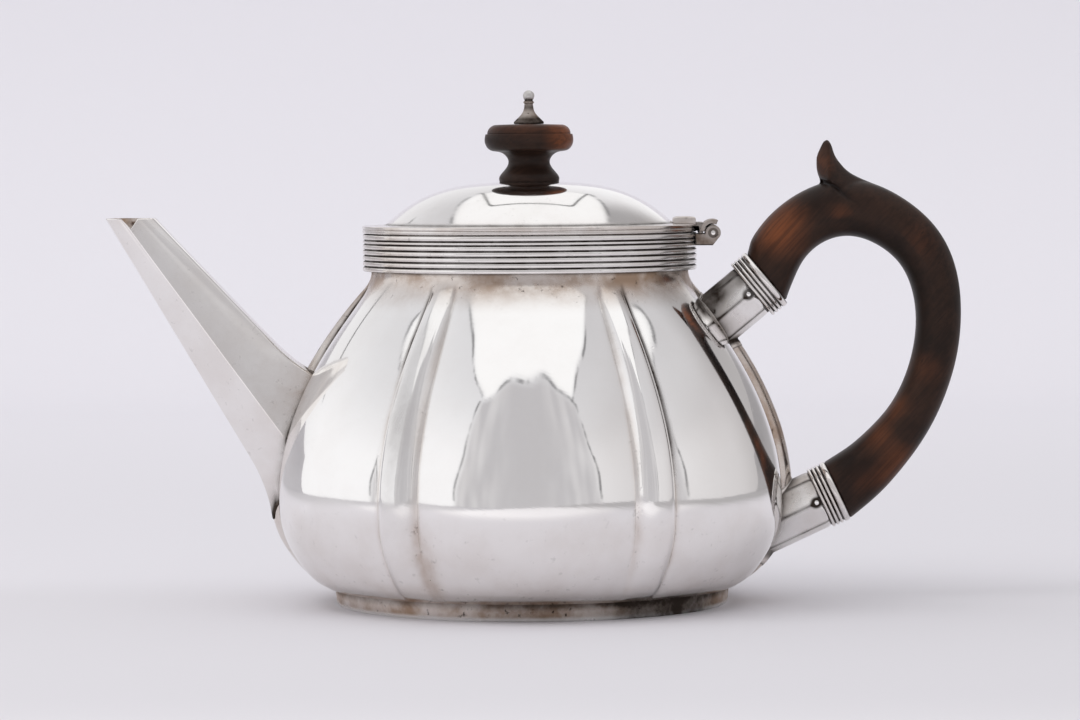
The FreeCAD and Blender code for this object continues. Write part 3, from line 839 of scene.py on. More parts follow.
# Painted light: the film is thinner on the left-front (hill at -150 degrees). Painted shade: the hill at -46
# degrees darkens the right-front. The other terms darken the foot towards its top, at the front and at the
# back.
foot_film_and_light = (0.95 - 0.2 * hill(foot_turn, -150, 30)) * soft_step(foot_share, 0.1, 0.3)
foot_dirt_and_shade = 0.06 + 0.4 * soft_step(foot_share, 0.5, 0.9) + 1.3 * hill(foot_turn, -46, 20)
foot_dirt_and_shade = foot_dirt_and_shade + 0.3 * hill(foot_turn, -90, 18)
foot_dirt_and_shade = foot_dirt_and_shade + 0.7 * hill(foot_turn, 95, 40) * hill(foot_share, 0.6, 0.3)
foot_patch = patch(foot_points, loop=True, tarnish=foot_film_and_light, grime_and_shade=foot_dirt_and_shade)
silver_piece("foot", [foot_patch], "pot", "foot_ring", worn_silver)
base_profile = np.array([(0, 0), (30, 0.2), (56, 0.02), (base_radius, 0.02), (base_radius, 1.0), (0, 1.0)])
base_patch = patch(spun(base_profile + (0, foot_height), 128), tarnish=0.6)
silver_piece("bottom", [base_patch], "pot", "base_plate", worn_silver)


# %% Reeded collar
def reeded_profile(inner, radius, low, bands, groove, relief, flatness=0.55):
    """Ring profile whose outside bulges once per band, as half a flattened oval, and the groove depth."""
    bands = np.asarray(bands)
    start = low + np.concatenate([[0], np.cumsum(bands[:-1] + groove)])
    bend = np.linspace(-np.pi / 2, np.pi / 2, 13)
    bulge = np.abs(np.cos(bend)) ** flatness
    reed_radius = np.tile(radius - relief + relief * bulge, len(bands))
    reed_height = (start + bands / 2)[:, None] + bands[:, None] / 2 * np.sin(bend)
    outside = np.stack([reed_radius, reed_height.ravel()], axis=1)
    high = outside[-1, 1]
    profile = np.concatenate([[(inner, low)], outside, [(inner, high)]])
    depth = np.concatenate([[0.6], np.tile(1 - bulge, len(bands)), [0.6]])
    return profile, depth


collar_radius, collar_low = 50.1, 99.95
collar_bands = [1.28] * 5 + [0.75, 1.5]
collar_profile, collar_depth = reeded_profile(
    neck_radius + 0.05, collar_radius, collar_low, collar_bands, groove=0.385, relief=0.6
)
collar_points = spun(collar_profile, 256)
collar_turn = turn_of(collar_points)
collar_film = 0.15 + 0.3 * hill(collar_turn, -175, 50)
# Dark in the grooves; the hill at -28 degrees is painted shade at the collar's right-front end.
collar_grime_and_shade = 1.4 * soft_step(collar_depth, 0.12, 0.6)[:, None] + 0.22 * hill(collar_turn, -28, 22)
collar = patch(collar_points, loop=True, tarnish=collar_film, grime_and_shade=collar_grime_and_shade)
silver_piece("collar", [collar], "pot", "reeded_collar", bright_silver)

# %% [markdown]
# ## The spout
#
# A straight tube with six flat sides that widens into the body and is cut level at the tip. A six-sided
# cone cut off against the body by a boolean would leave a ragged seam. Each side is a strip of straight
# lines, so the surface is a hexagon whose size depends on the distance from the root, with softened
# corners. Every line is followed inwards until it reaches the body's radius, which seats the root
# exactly. The near ridge has a small worn notch at the tip.

# %% Spout sizes and sections
spout_lean, spout_length = np.radians(53.6), 78.4
spout_wall, spout_heel = 1.0, -20.0
spout_axis = np.array([-np.cos(spout_lean), 0, np.sin(spout_lean)])
spout_up = np.array([np.sin(spout_lean), 0, np.cos(spout_lean)])
spout_root = np.array([-float(crown_radius(np.array(spout_root_height))), 0, spout_root_height])
spout_tip_height = spout_root_height + spout_length * np.sin(spout_lean)


def spout_outline(along, shrink):
    """Softened hexagon at each distance along: (rise, side) pairs.

    Each size falls in a straight line from root to tip. Near the root the upper and lower sides flare
    out by the square of the distance, and the lower side narrows. A side bulges slightly, as a pillow.
    """
    share = along / spout_length
    upper = 16.4 - 9.9 * share + np.maximum(0, 21.4 - along) ** 2 / 96 - shrink
    lower = 12.4 - 7.65 * share + np.maximum(0, -2.6 - along) ** 2 / 77 - shrink
    width = 12.0 - 5.5 * share - shrink
    flat = 6.0 - 2.5 * share - 3.6 * soft_step(-along, 8, 20) - shrink / 2
    rise = np.stack([upper, 0 * upper, -lower, -lower, 0 * upper, upper], axis=-1)
    side = np.stack([-flat, -width, -flat, flat, width, flat], axis=-1)
    corners = np.stack([rise, side], axis=-1)
    cut, bulge = (0.5, 0.0) if shrink else (0.9, 1.2)
    start = corners + unit(np.roll(corners, 1, axis=-2) - corners) * cut
    stop = corners + unit(np.roll(corners, -1, axis=-2) - corners) * cut
    ahead = np.roll(start, -1, axis=-2)
    edge = ahead - stop
    outward = unit(np.stack([-edge[..., 1], edge[..., 0]], axis=-1))[..., None, :]
    run = (0.5 - 0.5 * np.cos(np.linspace(0, np.pi, 11)))[1:-1, None]
    flat_side = stop[..., None, :] * (1 - run) + ahead[..., None, :] * run
    flat_side = flat_side + bulge * run * (1 - run) * outward
    ring = np.concatenate([bridge(start, corners, stop, 6), flat_side], axis=-2)
    return ring.reshape(*along.shape, -1, 2)


spout_columns = spout_outline(np.zeros(1), 0).shape[1]


def spout_points(along, shrink):
    """Point of each column's own line at its own distance along: (rows, columns, xyz)."""
    ring = spout_outline(along, shrink)
    own = np.take_along_axis(ring, np.arange(spout_columns)[None, :, None, None], axis=2)[:, :, 0]
    rise, side = own[..., :1], own[..., 1:]
    middle = spout_root + along[..., None] * spout_axis
    return middle + rise * spout_up + side * np.array([0, 1, 0])


print("lines along the spout:", spout_columns)


# %% Where the spout's lines start and end
def height_over_body(points):
    """How far points stand out of the body's wall, measured square to its axis."""
    x, y, z = np.moveaxis(points, -1, 0)
    return np.hypot(x, y) - body_radius(np.arctan2(y, x), z)


def spout_ends(shrink, sink):
    """Distance along each line at which it leaves the body, and at which it reaches the level tip."""
    low = np.repeat(np.linspace(-26, 30, 561)[:, None], spout_columns, axis=1)
    inside = height_over_body(spout_points(low, shrink)) < -sink
    last = len(low) - 1 - np.argmax(inside[::-1], axis=0)
    root = np.where(inside.any(axis=0), low[last, 0], spout_heel)
    high = np.repeat(np.linspace(60, 95, 701)[:, None], spout_columns, axis=1)
    first = np.argmax(spout_points(high, shrink)[..., 2] >= spout_tip_height, axis=0)
    return root, high[first, 0]


def drawn_in(points, sink):
    """Points moved towards the axis until they are a little inside the body's wall."""
    reach = np.hypot(points[..., 0], points[..., 1])
    scale = 1 - np.maximum(height_over_body(points) + sink, 0) / reach
    return points * np.stack([scale, scale, np.ones_like(scale)], axis=-1)


def notch(along, shrink):
    """How far the worn V at the near ridge is cut down from the tip; its two flanks differ in width."""
    depth, back_flank, front_flank = 3.8, 4.2, 0.7
    spots = spout_points(along[None], shrink)[0]
    away = spots[:, 0] - spots[np.argmin(spots[:, 1]), 0]
    flank = np.where(away > 0, away / back_flank, -away / front_flank)
    return depth * np.clip(1 - flank, 0, 1) * (spots[:, 1] < 0)


root_out, tip_out = spout_ends(shrink=0, sink=0.25)
root_out = np.mean([np.roll(root_out, step) for step in range(-3, 4)], axis=0)
root_in, tip_in = spout_ends(shrink=spout_wall, sink=0.4)
tip_out = tip_out - notch(tip_out, 0)
tip_in = tip_in - notch(tip_in, spout_wall)
row_share = steps_through([0, 0.3, 0.97, 1], [30, 40, 6])[:, None]
spout_out = spout_points(root_out + (tip_out - root_out) * row_share, 0)
spout_in = spout_points(tip_in + (root_in - tip_in) * np.linspace(0, 1, 40)[:, None], spout_wall)
spout_skirt = drawn_in(spout_out[:1], sink=0.4)
print("shortest and longest line:", (tip_out - root_out).min(), (tip_out - root_out).max())

# %% Spout mesh
root_run = row_share * (tip_out - root_out)
root_gap = np.maximum(root_run / 1.7, height_over_body(spout_out) / 0.8)
spout_uneven = 0.05 * waves(spout_out, length=22.0, seed=21) + 0.02 * waves(spout_out, length=8.0, seed=23)
spout_out = spout_out + spout_uneven[..., None] * spout_up
root_film = 0.12 + (0.15 + 0.6 * soft_step(spout_out[..., 2], 50, 66)) * np.exp(-root_run / 6.0)
outside_film = root_film + 0.06 * soft_step(row_share, 0.96, 1)
seam_row = np.full((1, spout_columns), 0.9)
bore_film, bore_dirt = (np.full(spout_in.shape[:2], share) for share in (0.95, 0.15))
spout_shell = patch(
    np.concatenate([spout_skirt, spout_out, spout_in]),
    loop=True,
    tarnish=np.concatenate([seam_row, outside_film, bore_film]),
    grime_and_shade=np.concatenate([seam_row, 1.6 * np.exp(-root_gap), bore_dirt]),
)


def solder_line(line, radius):
    """Thin tube along a closed line: rows go round the tube, in the plane square to the line."""
    along = np.roll(line, -1, axis=0) - np.roll(line, 1, axis=0)
    out = line * np.array([1, 1, 0])
    side = np.cross(along, out)
    turn = turns(12)[:, None, None]
    return line + radius * (np.cos(turn) * unit(out) + np.sin(turn) * unit(side))


solder = patch(solder_line(spout_skirt[0], radius=0.7), loop=True, tarnish=0.9, grime_and_shade=0.85)
silver_piece("spout_tube", [spout_shell, solder], "pot", "spout", bright_silver)

# %% [markdown]
# ## The lid
#
# A shallow dome on a flat flange, spun from sheet, with a rim wire under the edge and a bezel that drops
# into the neck. All are turned. A flattened ball would be quicker, but it falls away too soon. The dome
# is a power curve, which is flat on top and steepens towards the flange as the real one does.

# %% Lid dome, rim and bezel
dome_radius, dome_base, dome_height, dome_power = 43.1, 113.7, 12.6, 3.3
flange_top, lid_sheet, lid_base, knob_foot_radius = 113.4, 1.0, 111.2, 8.8


def dome_profile(radius):
    """Crown of the lid: height falls with a power of the radius."""
    return dome_base + dome_height * (1 - (radius / dome_radius) ** dome_power)


dome_radii = steps_through([2, 38, dome_radius], [50, 20])
dome_top = np.stack([dome_radii, dome_profile(dome_radii)], axis=1)
flange_upper = [(dome_radius, dome_base), (collar_radius, flange_top)]
flange_lower = [(radius, height - lid_sheet) for radius, height in flange_upper[::-1]]
flange = refined(rounded(flange_upper + flange_lower, [0, 0.35, 0.2, 0]), 0.5)
dome_under = dome_top[::-1] - (0, lid_sheet)
lid_points = spun(np.concatenate([dome_top, flange, dome_under]), 256)
lid_points[..., 2] += 0.03 * waves(lid_points, length=24.0, seed=31)
lid_radius = np.hypot(lid_points[..., 0], lid_points[..., 1])
lid_dirt = 0.95 * hill(lid_radius, dome_radius + 0.1, 0.55) + 0.7 * hill(lid_radius, knob_foot_radius, 0.5)
lid_film = 0.06 + 0.35 * hill(lid_radius, 46, 3.0) + 0.3 * soft_step(lid_radius, 49, 50)
lid_shell = patch(lid_points, loop=True, tarnish=lid_film, grime_and_shade=lid_dirt)
silver_piece("lid_cover", [lid_shell], "lid", "lid_dome", bright_silver)
rim_points = spun_ring(inner=47.9, outer=collar_radius, low=lid_base, high=112.39, edge=0.4, segments=256)
rim_wire = patch(rim_points, loop=True, tarnish=0.35, grime_and_shade=0.1)
silver_piece("lid_rim_wire", [rim_wire], "lid", "lid_rim", bright_silver)
bezel = patch(spun_ring(inner=45.0, outer=46.0, low=105.2, high=112.4), loop=True, tarnish=0.6)
silver_piece("lid_sleeve", [bezel], "lid", "lid_bezel", worn_silver)

# %% [markdown]
# ## Knob and finial
#
# The knob is turned wood, so its profile carries the marks of the lathe: a scored line under the top
# edge and a faint step at the neck. It could be a stack of balls and cylinders, but one spline through
# measured points keeps the curve that a gouge leaves. The finial screws through it and is held by a
# washer and nut.

# %% Wooden knob
knob_base, shank_bore = 126.35, 2.05
knob_curve = smooth_path([
    (8.85, -0.1), (9.05, 0.95), (8.3, 2.45), (7.0, 4.0), (6.2, 5.95), (7.2, 7.95), (8.9, 8.9), (11.7, 9.5),
    (12.95, 10.9), (13.3, 12.8), (13.05, 14.2),
], 90)
knob_crown = smooth_path([(12.55, 14.42), (12.3, 15.3), (11.5, 16.4), (10.3, 17.0)], 18)
knob_foot, knob_score = [(shank_bore, 0), (8.3, -0.1)], [(12.4, 14.3)]
knob_top = [(4.0, 17.2), (shank_bore, 17.2)]
knob_profile = np.concatenate([knob_foot, knob_curve, knob_score, knob_crown, knob_top])
knob_mesh = make_mesh("knob", [patch(spun(knob_profile + (0, knob_base), 160), loop=True)])
knob_spots = spots_of(knob_mesh)
knob_worn = 0.85 * soft_step(knob_spots[:, 0], 3, 11) * soft_step(knob_spots[:, 2], 134.5, 137)
paint(knob_mesh, "worn_and_shade", knob_worn + 0.2 * soft_step(knob_spots[:, 2], 139, 143))
place("knob", knob_mesh, "lid", ["finial_knob"], knob_wood)

# %% Finial
finial_seat, shank_radius, shank_length = 143.6, 1.9, 23.0
finial_foot = [(0, -shank_length), (shank_radius, -shank_length), (shank_radius, 0), (4.3, 0), (4.5, 0.2)]
finial_curve = smooth_path([(4.5, 0.6), (3.9, 1.2), (2.6, 2.5), (1.75, 3.7), (1.35, 5.2), (1.25, 6.0)], 40)
finial_ring = smooth_path([(1.35, 6.1), (1.62, 6.45), (1.35, 6.8), (1.2, 7.1)], 14)
bead_turn = np.linspace(-0.8, np.pi / 2, 24)
finial_bead = np.stack([1.72 * np.cos(bead_turn), 8.4 + 1.68 * np.sin(bead_turn)], axis=1)
finial_bead[-1, 0] = 0
finial_profile = np.concatenate([finial_foot, finial_curve, finial_ring, finial_bead])
finial_points = spun(finial_profile + (0, finial_seat), 96)
finial_rise = finial_points[..., 2] - finial_seat
finial_dirt = 0.4 + 0.8 * hill(finial_rise, 0.7, 1.5)
finial_dirt = finial_dirt + 0.55 * hill(finial_rise, 5.0, 1.0) + 1.0 * hill(finial_rise, 7.1, 0.35)
finial_film = 0.1 + 0.9 * soft_step(7.4 - finial_rise, 0, 0.5)
finial = patch(finial_points, tarnish=finial_film, grime_and_shade=finial_dirt)
silver_piece("finial", [finial], "lid", "finial_tip", worn_silver)

# %% Washer and nut
washer_points = spun_ring(inner=2.0, outer=6.0, low=124.45, high=125.25, edge=0.15, segments=96)
washer = patch(washer_points, loop=True, tarnish=0.5)
silver_piece("washer", [washer], "lid", "finial_washer", worn_silver)
nut_radius = 4.2
nut_corners = nut_radius * np.stack([np.cos(turns(6)), np.sin(turns(6))], axis=1)
nut_outline = rounded(nut_corners, 0.3, 4)
nut_rows = np.array([(0.55, 121.4), (0.93, 121.4), (1.0, 121.7), (1.0, 124.1), (0.93, 124.4), (0.55, 124.4)])
nut_size, nut_height = nut_rows[:, :1], nut_rows[:, 1:]
nut_sides = np.broadcast_arrays(nut_size * nut_outline[:, 0], nut_size * nut_outline[:, 1], nut_height)
nut = patch(np.stack(nut_sides, axis=-1), loop=True, tarnish=0.5)
silver_piece("nut", [nut], "lid", "finial_nut", worn_silver)

# %% [markdown]
# ## The lid hinge
#
# Two knuckles stand on a bracket soldered to the collar, a third on the lid turns between them on a pin,
# and a curved leaf on the lid covers all three. Each is an outline in the middle plane carried across,
# with its end edges drawn in. Cylinders cut by booleans would do as well, but then edges stay sharp. The
# outlines are arcs about the pin, so nothing rubs when the lid turns.

# %% Hinge bracket and pin
hinge_x, _, hinge_z = np.array(frame["joints"][0]["pos_m"]) / MM
knuckle_radius, hinge_half, lid_half, side_gap = 2.3, 9.0, 3.3, 0.35
plate_half = hinge_half - 0.3
bracket_back, plate_front, bracket_low, bracket_top = 49.6, 51.5, hinge_z - 3.7, hinge_z - side_gap
pin_radius, pin_end = 0.72, hinge_half + 0.2


def hinge_arc(radius, first, last, count):
    """Points of an arc about the pin, in the middle plane."""
    turn = np.radians(np.linspace(first, last, count))
    return np.stack([hinge_x + radius * np.cos(turn), hinge_z + radius * np.sin(turn)], axis=1)


def laid_across(points, x, z):
    """Turn a shape made upright about Z so that it lies along Y at a point of the middle plane."""
    return np.stack([points[..., 0] + x, points[..., 2], z - points[..., 1]], axis=-1)


def slab(outline, low, high, tarnish, grime_and_shade=0.0, edge=0.25):
    """Closed patch of an outline carried across, with even dirt."""
    return patch(plank(outline, low, high, edge), caps=True, tarnish=tarnish, grime_and_shade=grime_and_shade)


def rod(radius, half, edge, steps, segments):
    """Upright pin whose two ends are rounded."""
    corners = [(0, -half), (radius, -half), (radius, half), (0, half)]
    return spun(rounded(corners, [0, edge, edge, 0], steps), segments)


cheek = np.concatenate([
    rounded([(bracket_back, bracket_low), (hinge_x + 0.2, bracket_low)], 0.3, 3),
    hinge_arc(knuckle_radius, -28, 165, 28),
    [(hinge_x - knuckle_radius, bracket_top), (bracket_back, bracket_top)],
])
cheek_ends = [(-hinge_half, -lid_half - side_gap), (lid_half + side_gap, hinge_half)]
cheeks = [slab(cheek, low, high, 0.95, 0.55) for low, high in cheek_ends]
back_plate = rounded(box(bracket_back, plate_front, bracket_low, bracket_top), 0.2, 3)
plate = slab(back_plate, -plate_half, plate_half, 0.6, 0.6)
mark_outer, mark_height, mark_proud = 1.5, 0.08, 0.05
pin_mark = spun(rounded(box(pin_radius + 0.02, mark_outer, 0, mark_height), 0.03, 3), 48)
mark_shifts = [(0, -hinge_half - mark_proud, 0), (0, hinge_half + mark_proud - mark_height, 0)]
pin_marks = [
    patch(laid_across(pin_mark, hinge_x, hinge_z) + shift, loop=True, tarnish=1.0, grime_and_shade=1.0)
    for shift in np.array(mark_shifts)
]
silver_piece("hinge_seat", cheeks + [plate] + pin_marks, "pot", "hinge_bracket", worn_silver, crisp=True)
pin_points = rod(pin_radius, pin_end, edge=0.25, steps=5, segments=48)
hinge_rod = patch(laid_across(pin_points, hinge_x, hinge_z), tarnish=0.2)
silver_piece("hinge_rod", [hinge_rod], "pot", "hinge_pin", bright_silver)

# %% Hinge leaf on the lid
cover_inner, cover_outer = knuckle_radius + side_gap, knuckle_radius + side_gap + 1.35
cover = np.concatenate([hinge_arc(cover_outer, 68, 172, 30), hinge_arc(cover_inner, 172, 68, 30)])
knuckle = hinge_arc(knuckle_radius, 0, 360, 48)[:-1]
web_outer, web_inner = cover_outer - 0.2, knuckle_radius - 0.4
web = np.concatenate([hinge_arc(web_outer, 80, 172, 16), hinge_arc(web_inner, 172, 80, 16)])
strap_low, strap_top, strap_inner, strap_outer = flange_top - 0.1, flange_top + 2.2, 42.9, 49.7
strap = rounded([
    (strap_inner, strap_low), (strap_outer, strap_low), (strap_outer, strap_top - 0.25), (47.5, strap_top),
    (44.0, strap_top), (strap_inner, strap_top - 0.5),
], 0.35, 4)
link_start, link_front, link_end = 48.4, 50.5, hinge_x - cover_inner - 0.3
link_under, link_low = flange_top - 0.75, hinge_z - 0.2
link = rounded([
    (link_start, link_under), (link_front, link_under), (link_front, link_low), (link_end, link_low),
    (link_end, flange_top + 0.45), (link_start, flange_top + 0.5),
], 0.15, 3)
leaf_slabs = [
    slab(cover, -hinge_half, hinge_half, 0.9, 0.5),
    slab(knuckle, -lid_half, lid_half, 0.45, 0.2),
    slab(web, 0.05 - lid_half, lid_half - 0.05, 0.4),
    slab(strap, -hinge_half, hinge_half, 0.6, 0.15, edge=0.4),
    slab(link, -plate_half, plate_half, 0.7, 0.75),
]
silver_piece("hinge_leaf", leaf_slabs, "lid", "lid_hinge_leaf", worn_silver, crisp=True)

# %% [markdown]
# ## Handle sockets
#
# Each end of the handle sits in a six-sided tube on the body, closed by a reeded ferrule and held by a
# cross pin. A cylinder with six sides would be too plain: the upper and lower corners are filed off and
# each flat side ends in an arch. So the tube's radius about its own axis is the smaller of a hexagon, a
# bevel and a cone. The bevel cuts the corners, and the cone turns the rest down next to the ferrule.


# %% Socket frame
class Socket:
    """Axis, sizes and local frame of one handle socket."""

    def __init__(self, name, height, lean, length, flat, ferrule_radius, shade):
        self.name = name
        self.lean = np.radians(lean)
        self.length = length
        self.apothem = flat / 2
        self.corner = self.apothem / np.cos(np.pi / 6)
        self.ferrule_radius = ferrule_radius
        self.shade = shade
        self.pin_back = 1.5
        self.root = np.array([float(crown_radius(np.array(height))), 0, height])
        self.axis = np.array([np.cos(self.lean), 0, np.sin(self.lean)])
        self.out = np.array([np.sin(self.lean), 0, -np.cos(self.lean)])

    def set_up(self, points):
        """Carry points made about Z to the socket's axis."""
        side = points[..., :1] * self.out + points[..., 1:2] * np.array([0, 1, 0])
        return self.root + side + points[..., 2:] * self.axis

    def seat(self, side, across):
        """Distance along the axis at which a line beside it meets the body."""
        along = np.linspace(16, -32, 961).reshape(-1, *[1] * side.ndim)
        spots = self.set_up(np.stack(np.broadcast_arrays(side[None], across[None], along), axis=-1))
        return along.ravel()[np.argmax(height_over_body(spots) <= 0, axis=0)]

    def handle_end(self):
        """Point of the middle plane where the wood leaves the ferrule."""
        return (self.root + self.axis * (self.length + 5.8))[[0, 2]]


sockets = [
    Socket("upper", height=85.7, lean=39.5, length=12.1, flat=16.5, ferrule_radius=10.05, shade=0.9),
    Socket("lower", height=26.6, lean=25.0, length=9.7, flat=17.2, ferrule_radius=9.6, shade=0.25),
]
print("handle ends:", [socket.handle_end().round(2).tolist() for socket in sockets])


# %% Socket tubes
bore_radius = 7.0


def socket_section(socket, turn):
    """Radius of the tube away from the ferrule, and the turn from its upper or lower flat's middle."""
    bevel_reach, corner_wear, corner_soft = 1.04, 0.12, 0.25
    hexagon = socket.apothem / np.cos((turn + np.pi / 6) % (np.pi / 3) - np.pi / 6)
    side_turn = np.abs((turn + np.pi / 2) % np.pi - np.pi / 2)
    bevel = bevel_reach * socket.apothem / np.cos(side_turn - np.pi / 6)
    return soft_min(np.minimum(hexagon, bevel), socket.corner - corner_wear, corner_soft), side_turn


def socket_tube(socket):
    """Tube: outside rows from the body to the ferrule, then the bore back."""
    sink, cone_start, cone_stop = 0.4, socket.length - 3.6, socket.length + 1.2
    turn = turns(192)
    section, side_turn = socket_section(socket, turn)
    start = socket.seat(section * np.cos(turn), section * np.sin(turn)) - sink
    along = start + (socket.length - start) * np.linspace(0, 1, 60)[:, None]
    fall = 1.15 * (socket.corner - socket.apothem + 0.05)
    radius = soft_min(section, socket.corner - fall * soft_step(along, cone_start, cone_stop), 0.15)
    bore_along = socket.length + (start - socket.length) * np.linspace(0, 1, 12)[:, None]
    bore = about_axis(bore_radius, turn, bore_along)
    near_body = np.exp(-(along - start - sink) / 2.2)
    arch = soft_step(section - radius, 0.2, 0.7)
    ridge = hill(side_turn, np.pi / 2, 0.05) + hill(side_turn, np.radians(41), 0.05)
    top_side = soft_step(-np.cos(turn), 0.1, 0.6) * (1 - 0.4 * hill(along, socket.length - 3.5, 3.0))
    from_pin = np.hypot(socket.corner * (side_turn - np.pi / 2), along - socket.length + socket.pin_back)
    # Painted shade: the top_side terms darken and warm the upper flats, more on the upper socket. The other
    # terms darken the tube near the body, in the arches by the ferrule, along two ridges and round the pin.
    film_and_shade = 0.05 + 0.5 * near_body + 0.4 * top_side
    stain_and_shade = 1.1 * near_body + 0.8 * arch + 0.7 * ridge + socket.shade * top_side
    stain_and_shade = stain_and_shade + soft_step(-from_pin, -2.4, -1.3)
    return patch(
        socket.set_up(np.concatenate([about_axis(radius, turn, along), bore])),
        loop=True,
        tarnish=np.concatenate([film_and_shade, np.full(bore.shape[:2], 0.6)]),
        grime_and_shade=np.concatenate([stain_and_shade, np.full(bore.shape[:2], 0.4)]),
    )


for socket in sockets:
    silver_piece(f"{socket.name}_tube", [socket_tube(socket)], "pot", f"{socket.name}_socket", worn_silver)


# %% Saddle plates, ferrules and pins
def saddle(socket):
    """Round plate bent over the body: a disc about the axis laid on the wall, raised along its normal."""
    plate_radius, top_trim, edge_start, thickness, sink = 11.0, 1.5, 0.93, 0.75, 0.5
    turn = turns(128)
    share = steps_through([0.5, edge_start, 1], [12, 7])[:, None]
    reach = (plate_radius - top_trim * soft_step(-np.cos(turn), 0.45, 0.95)) * share
    side, across = reach * np.cos(turn), reach * np.sin(turn)
    skin = socket.set_up(np.stack([side, across, socket.seat(side, across)], axis=-1))
    normal = unit(np.cross(np.gradient(skin, axis=0), np.roll(skin, -1, axis=1) - np.roll(skin, 1, axis=1)))
    rounding = np.sqrt(1 - ((share - edge_start) / (1 - edge_start)).clip(0, 1) ** 2)
    lift = thickness * rounding * (1 - 0.7 * soft_step(np.abs(np.cos(turn)), 0.35, 0.95))
    top = skin + normal * lift[..., None]
    under = (skin - sink * normal)[::-1]
    # A dark line at the plate's rim, and painted shadow on the plate next to the tube's root.
    stain_and_shade = 0.8 * hill(share, 1.0, 0.03) + 0.95 * soft_step(edge_start - share, 0, 0.07)
    stain_and_shade = np.concatenate([stain_and_shade, np.full_like(stain_and_shade, 0.5)])
    return patch(np.concatenate([top, under]), loop=True, tarnish=0.55, grime_and_shade=stain_and_shade)


def ferrule(socket):
    """Reeded ring at the end of the tube: three fine reeds and a broad one next to the wood."""
    bands = [1.0, 1.0, 1.0, 1.9]
    profile, depth = reeded_profile(
        bore_radius, socket.ferrule_radius, socket.length, bands, groove=0.3, relief=0.75, flatness=0.85
    )
    points = socket.set_up(spun(profile, 160))
    return patch(points, loop=True, tarnish=0.25, grime_and_shade=soft_step(depth, 0.15, 0.55)[:, None])


def cross_pin(socket):
    """Pin through tube and tenon, its ends filed round just proud of the turned-down corners."""
    spot = socket.root + socket.axis * (socket.length - socket.pin_back)
    points = rod(radius=0.75, half=socket.corner - 0.35, edge=0.4, steps=6, segments=40)
    return patch(laid_across(points, spot[0], spot[2]))


for socket in sockets:
    name = socket.name
    silver_piece(f"{name}_saddle", [saddle(socket)], "pot", f"{name}_socket_plate", worn_silver)
    silver_piece(f"{name}_reeds", [ferrule(socket)], "pot", f"{name}_ferrule", bright_silver)
    silver_piece(f"{name}_rivet", [cross_pin(socket)], "pot", f"{name}_handle_pin", bright_silver)

# %% [markdown]
# ## The wooden handle
#
# The handle is carved from one block: a loop of oval section with a thumb spur that grows out of its
# top. It could be modelled as one grid, but a grid can't branch. Loop and spur are therefore two
# surfaces; a voxel remesh joins them into one skin and a little smoothing gives the carved transition. A
# crease that the carver left between spur and front leg is cut in afterwards by moving points along Y.

# %% The loop's line and thickness
start, end = (socket.handle_end() for socket in sockets)
start_axis, end_axis = (socket.axis[[0, 2]] for socket in sockets)
knots = np.concatenate([
    start + [(0, 0), (2.3, 6.4), (12.0, 17.05), (25.0, 20.8), (36.4, 17.0), (46.0, 8.4), (51.4, -12.0)],
    end + [(26.5, 31.6), (21.4, 21.35), (13.7, 11.7), (6.4, 4.75), (1.8, 1.3), (0, 0)],
])
knot_thickness = np.array([18.6, 16.5, 16.25, 17.2, 15.9, 15.2, 13.4, 13.2, 13.8, 15.4, 17.0, 18.4, 18.6])
loop_rows, ease, thinnest, width, swelling = 220, 8, 0.62, 15.0, 2.0
knot_run = np.concatenate([[0], np.cumsum(np.linalg.norm(np.diff(knots, axis=0), axis=1))])
loop_path = smooth_path(knots, loop_rows)
share = np.linspace(0, 1, loop_rows)
half_thick = np.interp(share, knot_run / knot_run[-1], knot_thickness) / 2
window = np.full(2 * ease + 1, 1 / (2 * ease + 1))
half_thick = np.convolve(np.pad(half_thick, ease, mode="edge"), window, mode="valid")
swell = np.where(share < thinnest, 1 - share / thinnest, (share - thinnest) / (1 - thinnest))
half_wide = (width + swelling * swell) / 2
lead = soft_step(np.minimum(share, 1 - share), 0, 0.1)[:, None]
end_along = np.where(share[:, None] < 0.5, start_axis, -end_axis)
loop_along = unit(end_along * (1 - lead) + unit(np.gradient(loop_path, axis=0)) * lead)
loop_ridge = 0.05 * soft_step(share, 0.28, 0.42) * soft_step(0.95 - share, 0, 0.15)
print("length of the loop:", knot_run[-1])


# %% Loop and spur
def swept(path, along, thick, wide, ridge, power=2.25):
    """Superellipse carried along a path of the middle plane, with a low ridge down each side."""
    path, along = (np.concatenate([line[:1], line, line[-1:]]) for line in (path, along))
    thick, wide, ridge = (np.concatenate([[0], size, [0]])[:, None] for size in (thick, wide, ridge))
    turn = turns(96)
    up, across = (np.sign(part) * np.abs(part) ** (2 / power) for part in (np.cos(turn), np.sin(turn)))
    across = across * (1 + ridge * hill(up, 0.2, 0.16))
    x = path[:, :1] + along[:, 1:] * thick * up
    z = path[:, 1:] - along[:, :1] * thick * up
    return np.stack([x, wide * across, z], axis=-1)


def spur_sections(rows, base, ridge):
    """Level sections with a ridge on each side: y falls off from the ridge to both edges by a power.

    A row holds the section's middle in x, its height, its half length in x and its half width in y.
    """
    crest_low, crest_high, fall_power = -0.65, 0.4, 0.62
    middle, height, half_long, half_across = (rows[:, [column]] for column in range(4))
    turn = turns(96)
    u = np.cos(turn)
    crest = np.clip((ridge - middle) / half_long, crest_low, crest_high)
    away = np.where(u > crest, (u - crest) / (1 - crest), (crest - u) / (1 + crest))
    across = np.sign(np.sin(turn)) * (1 - away.clip(0, 1)) ** fall_power
    x = base[0] + middle + half_long * u
    return np.stack(np.broadcast_arrays(x, half_across * across, base[1] + height), axis=-1)


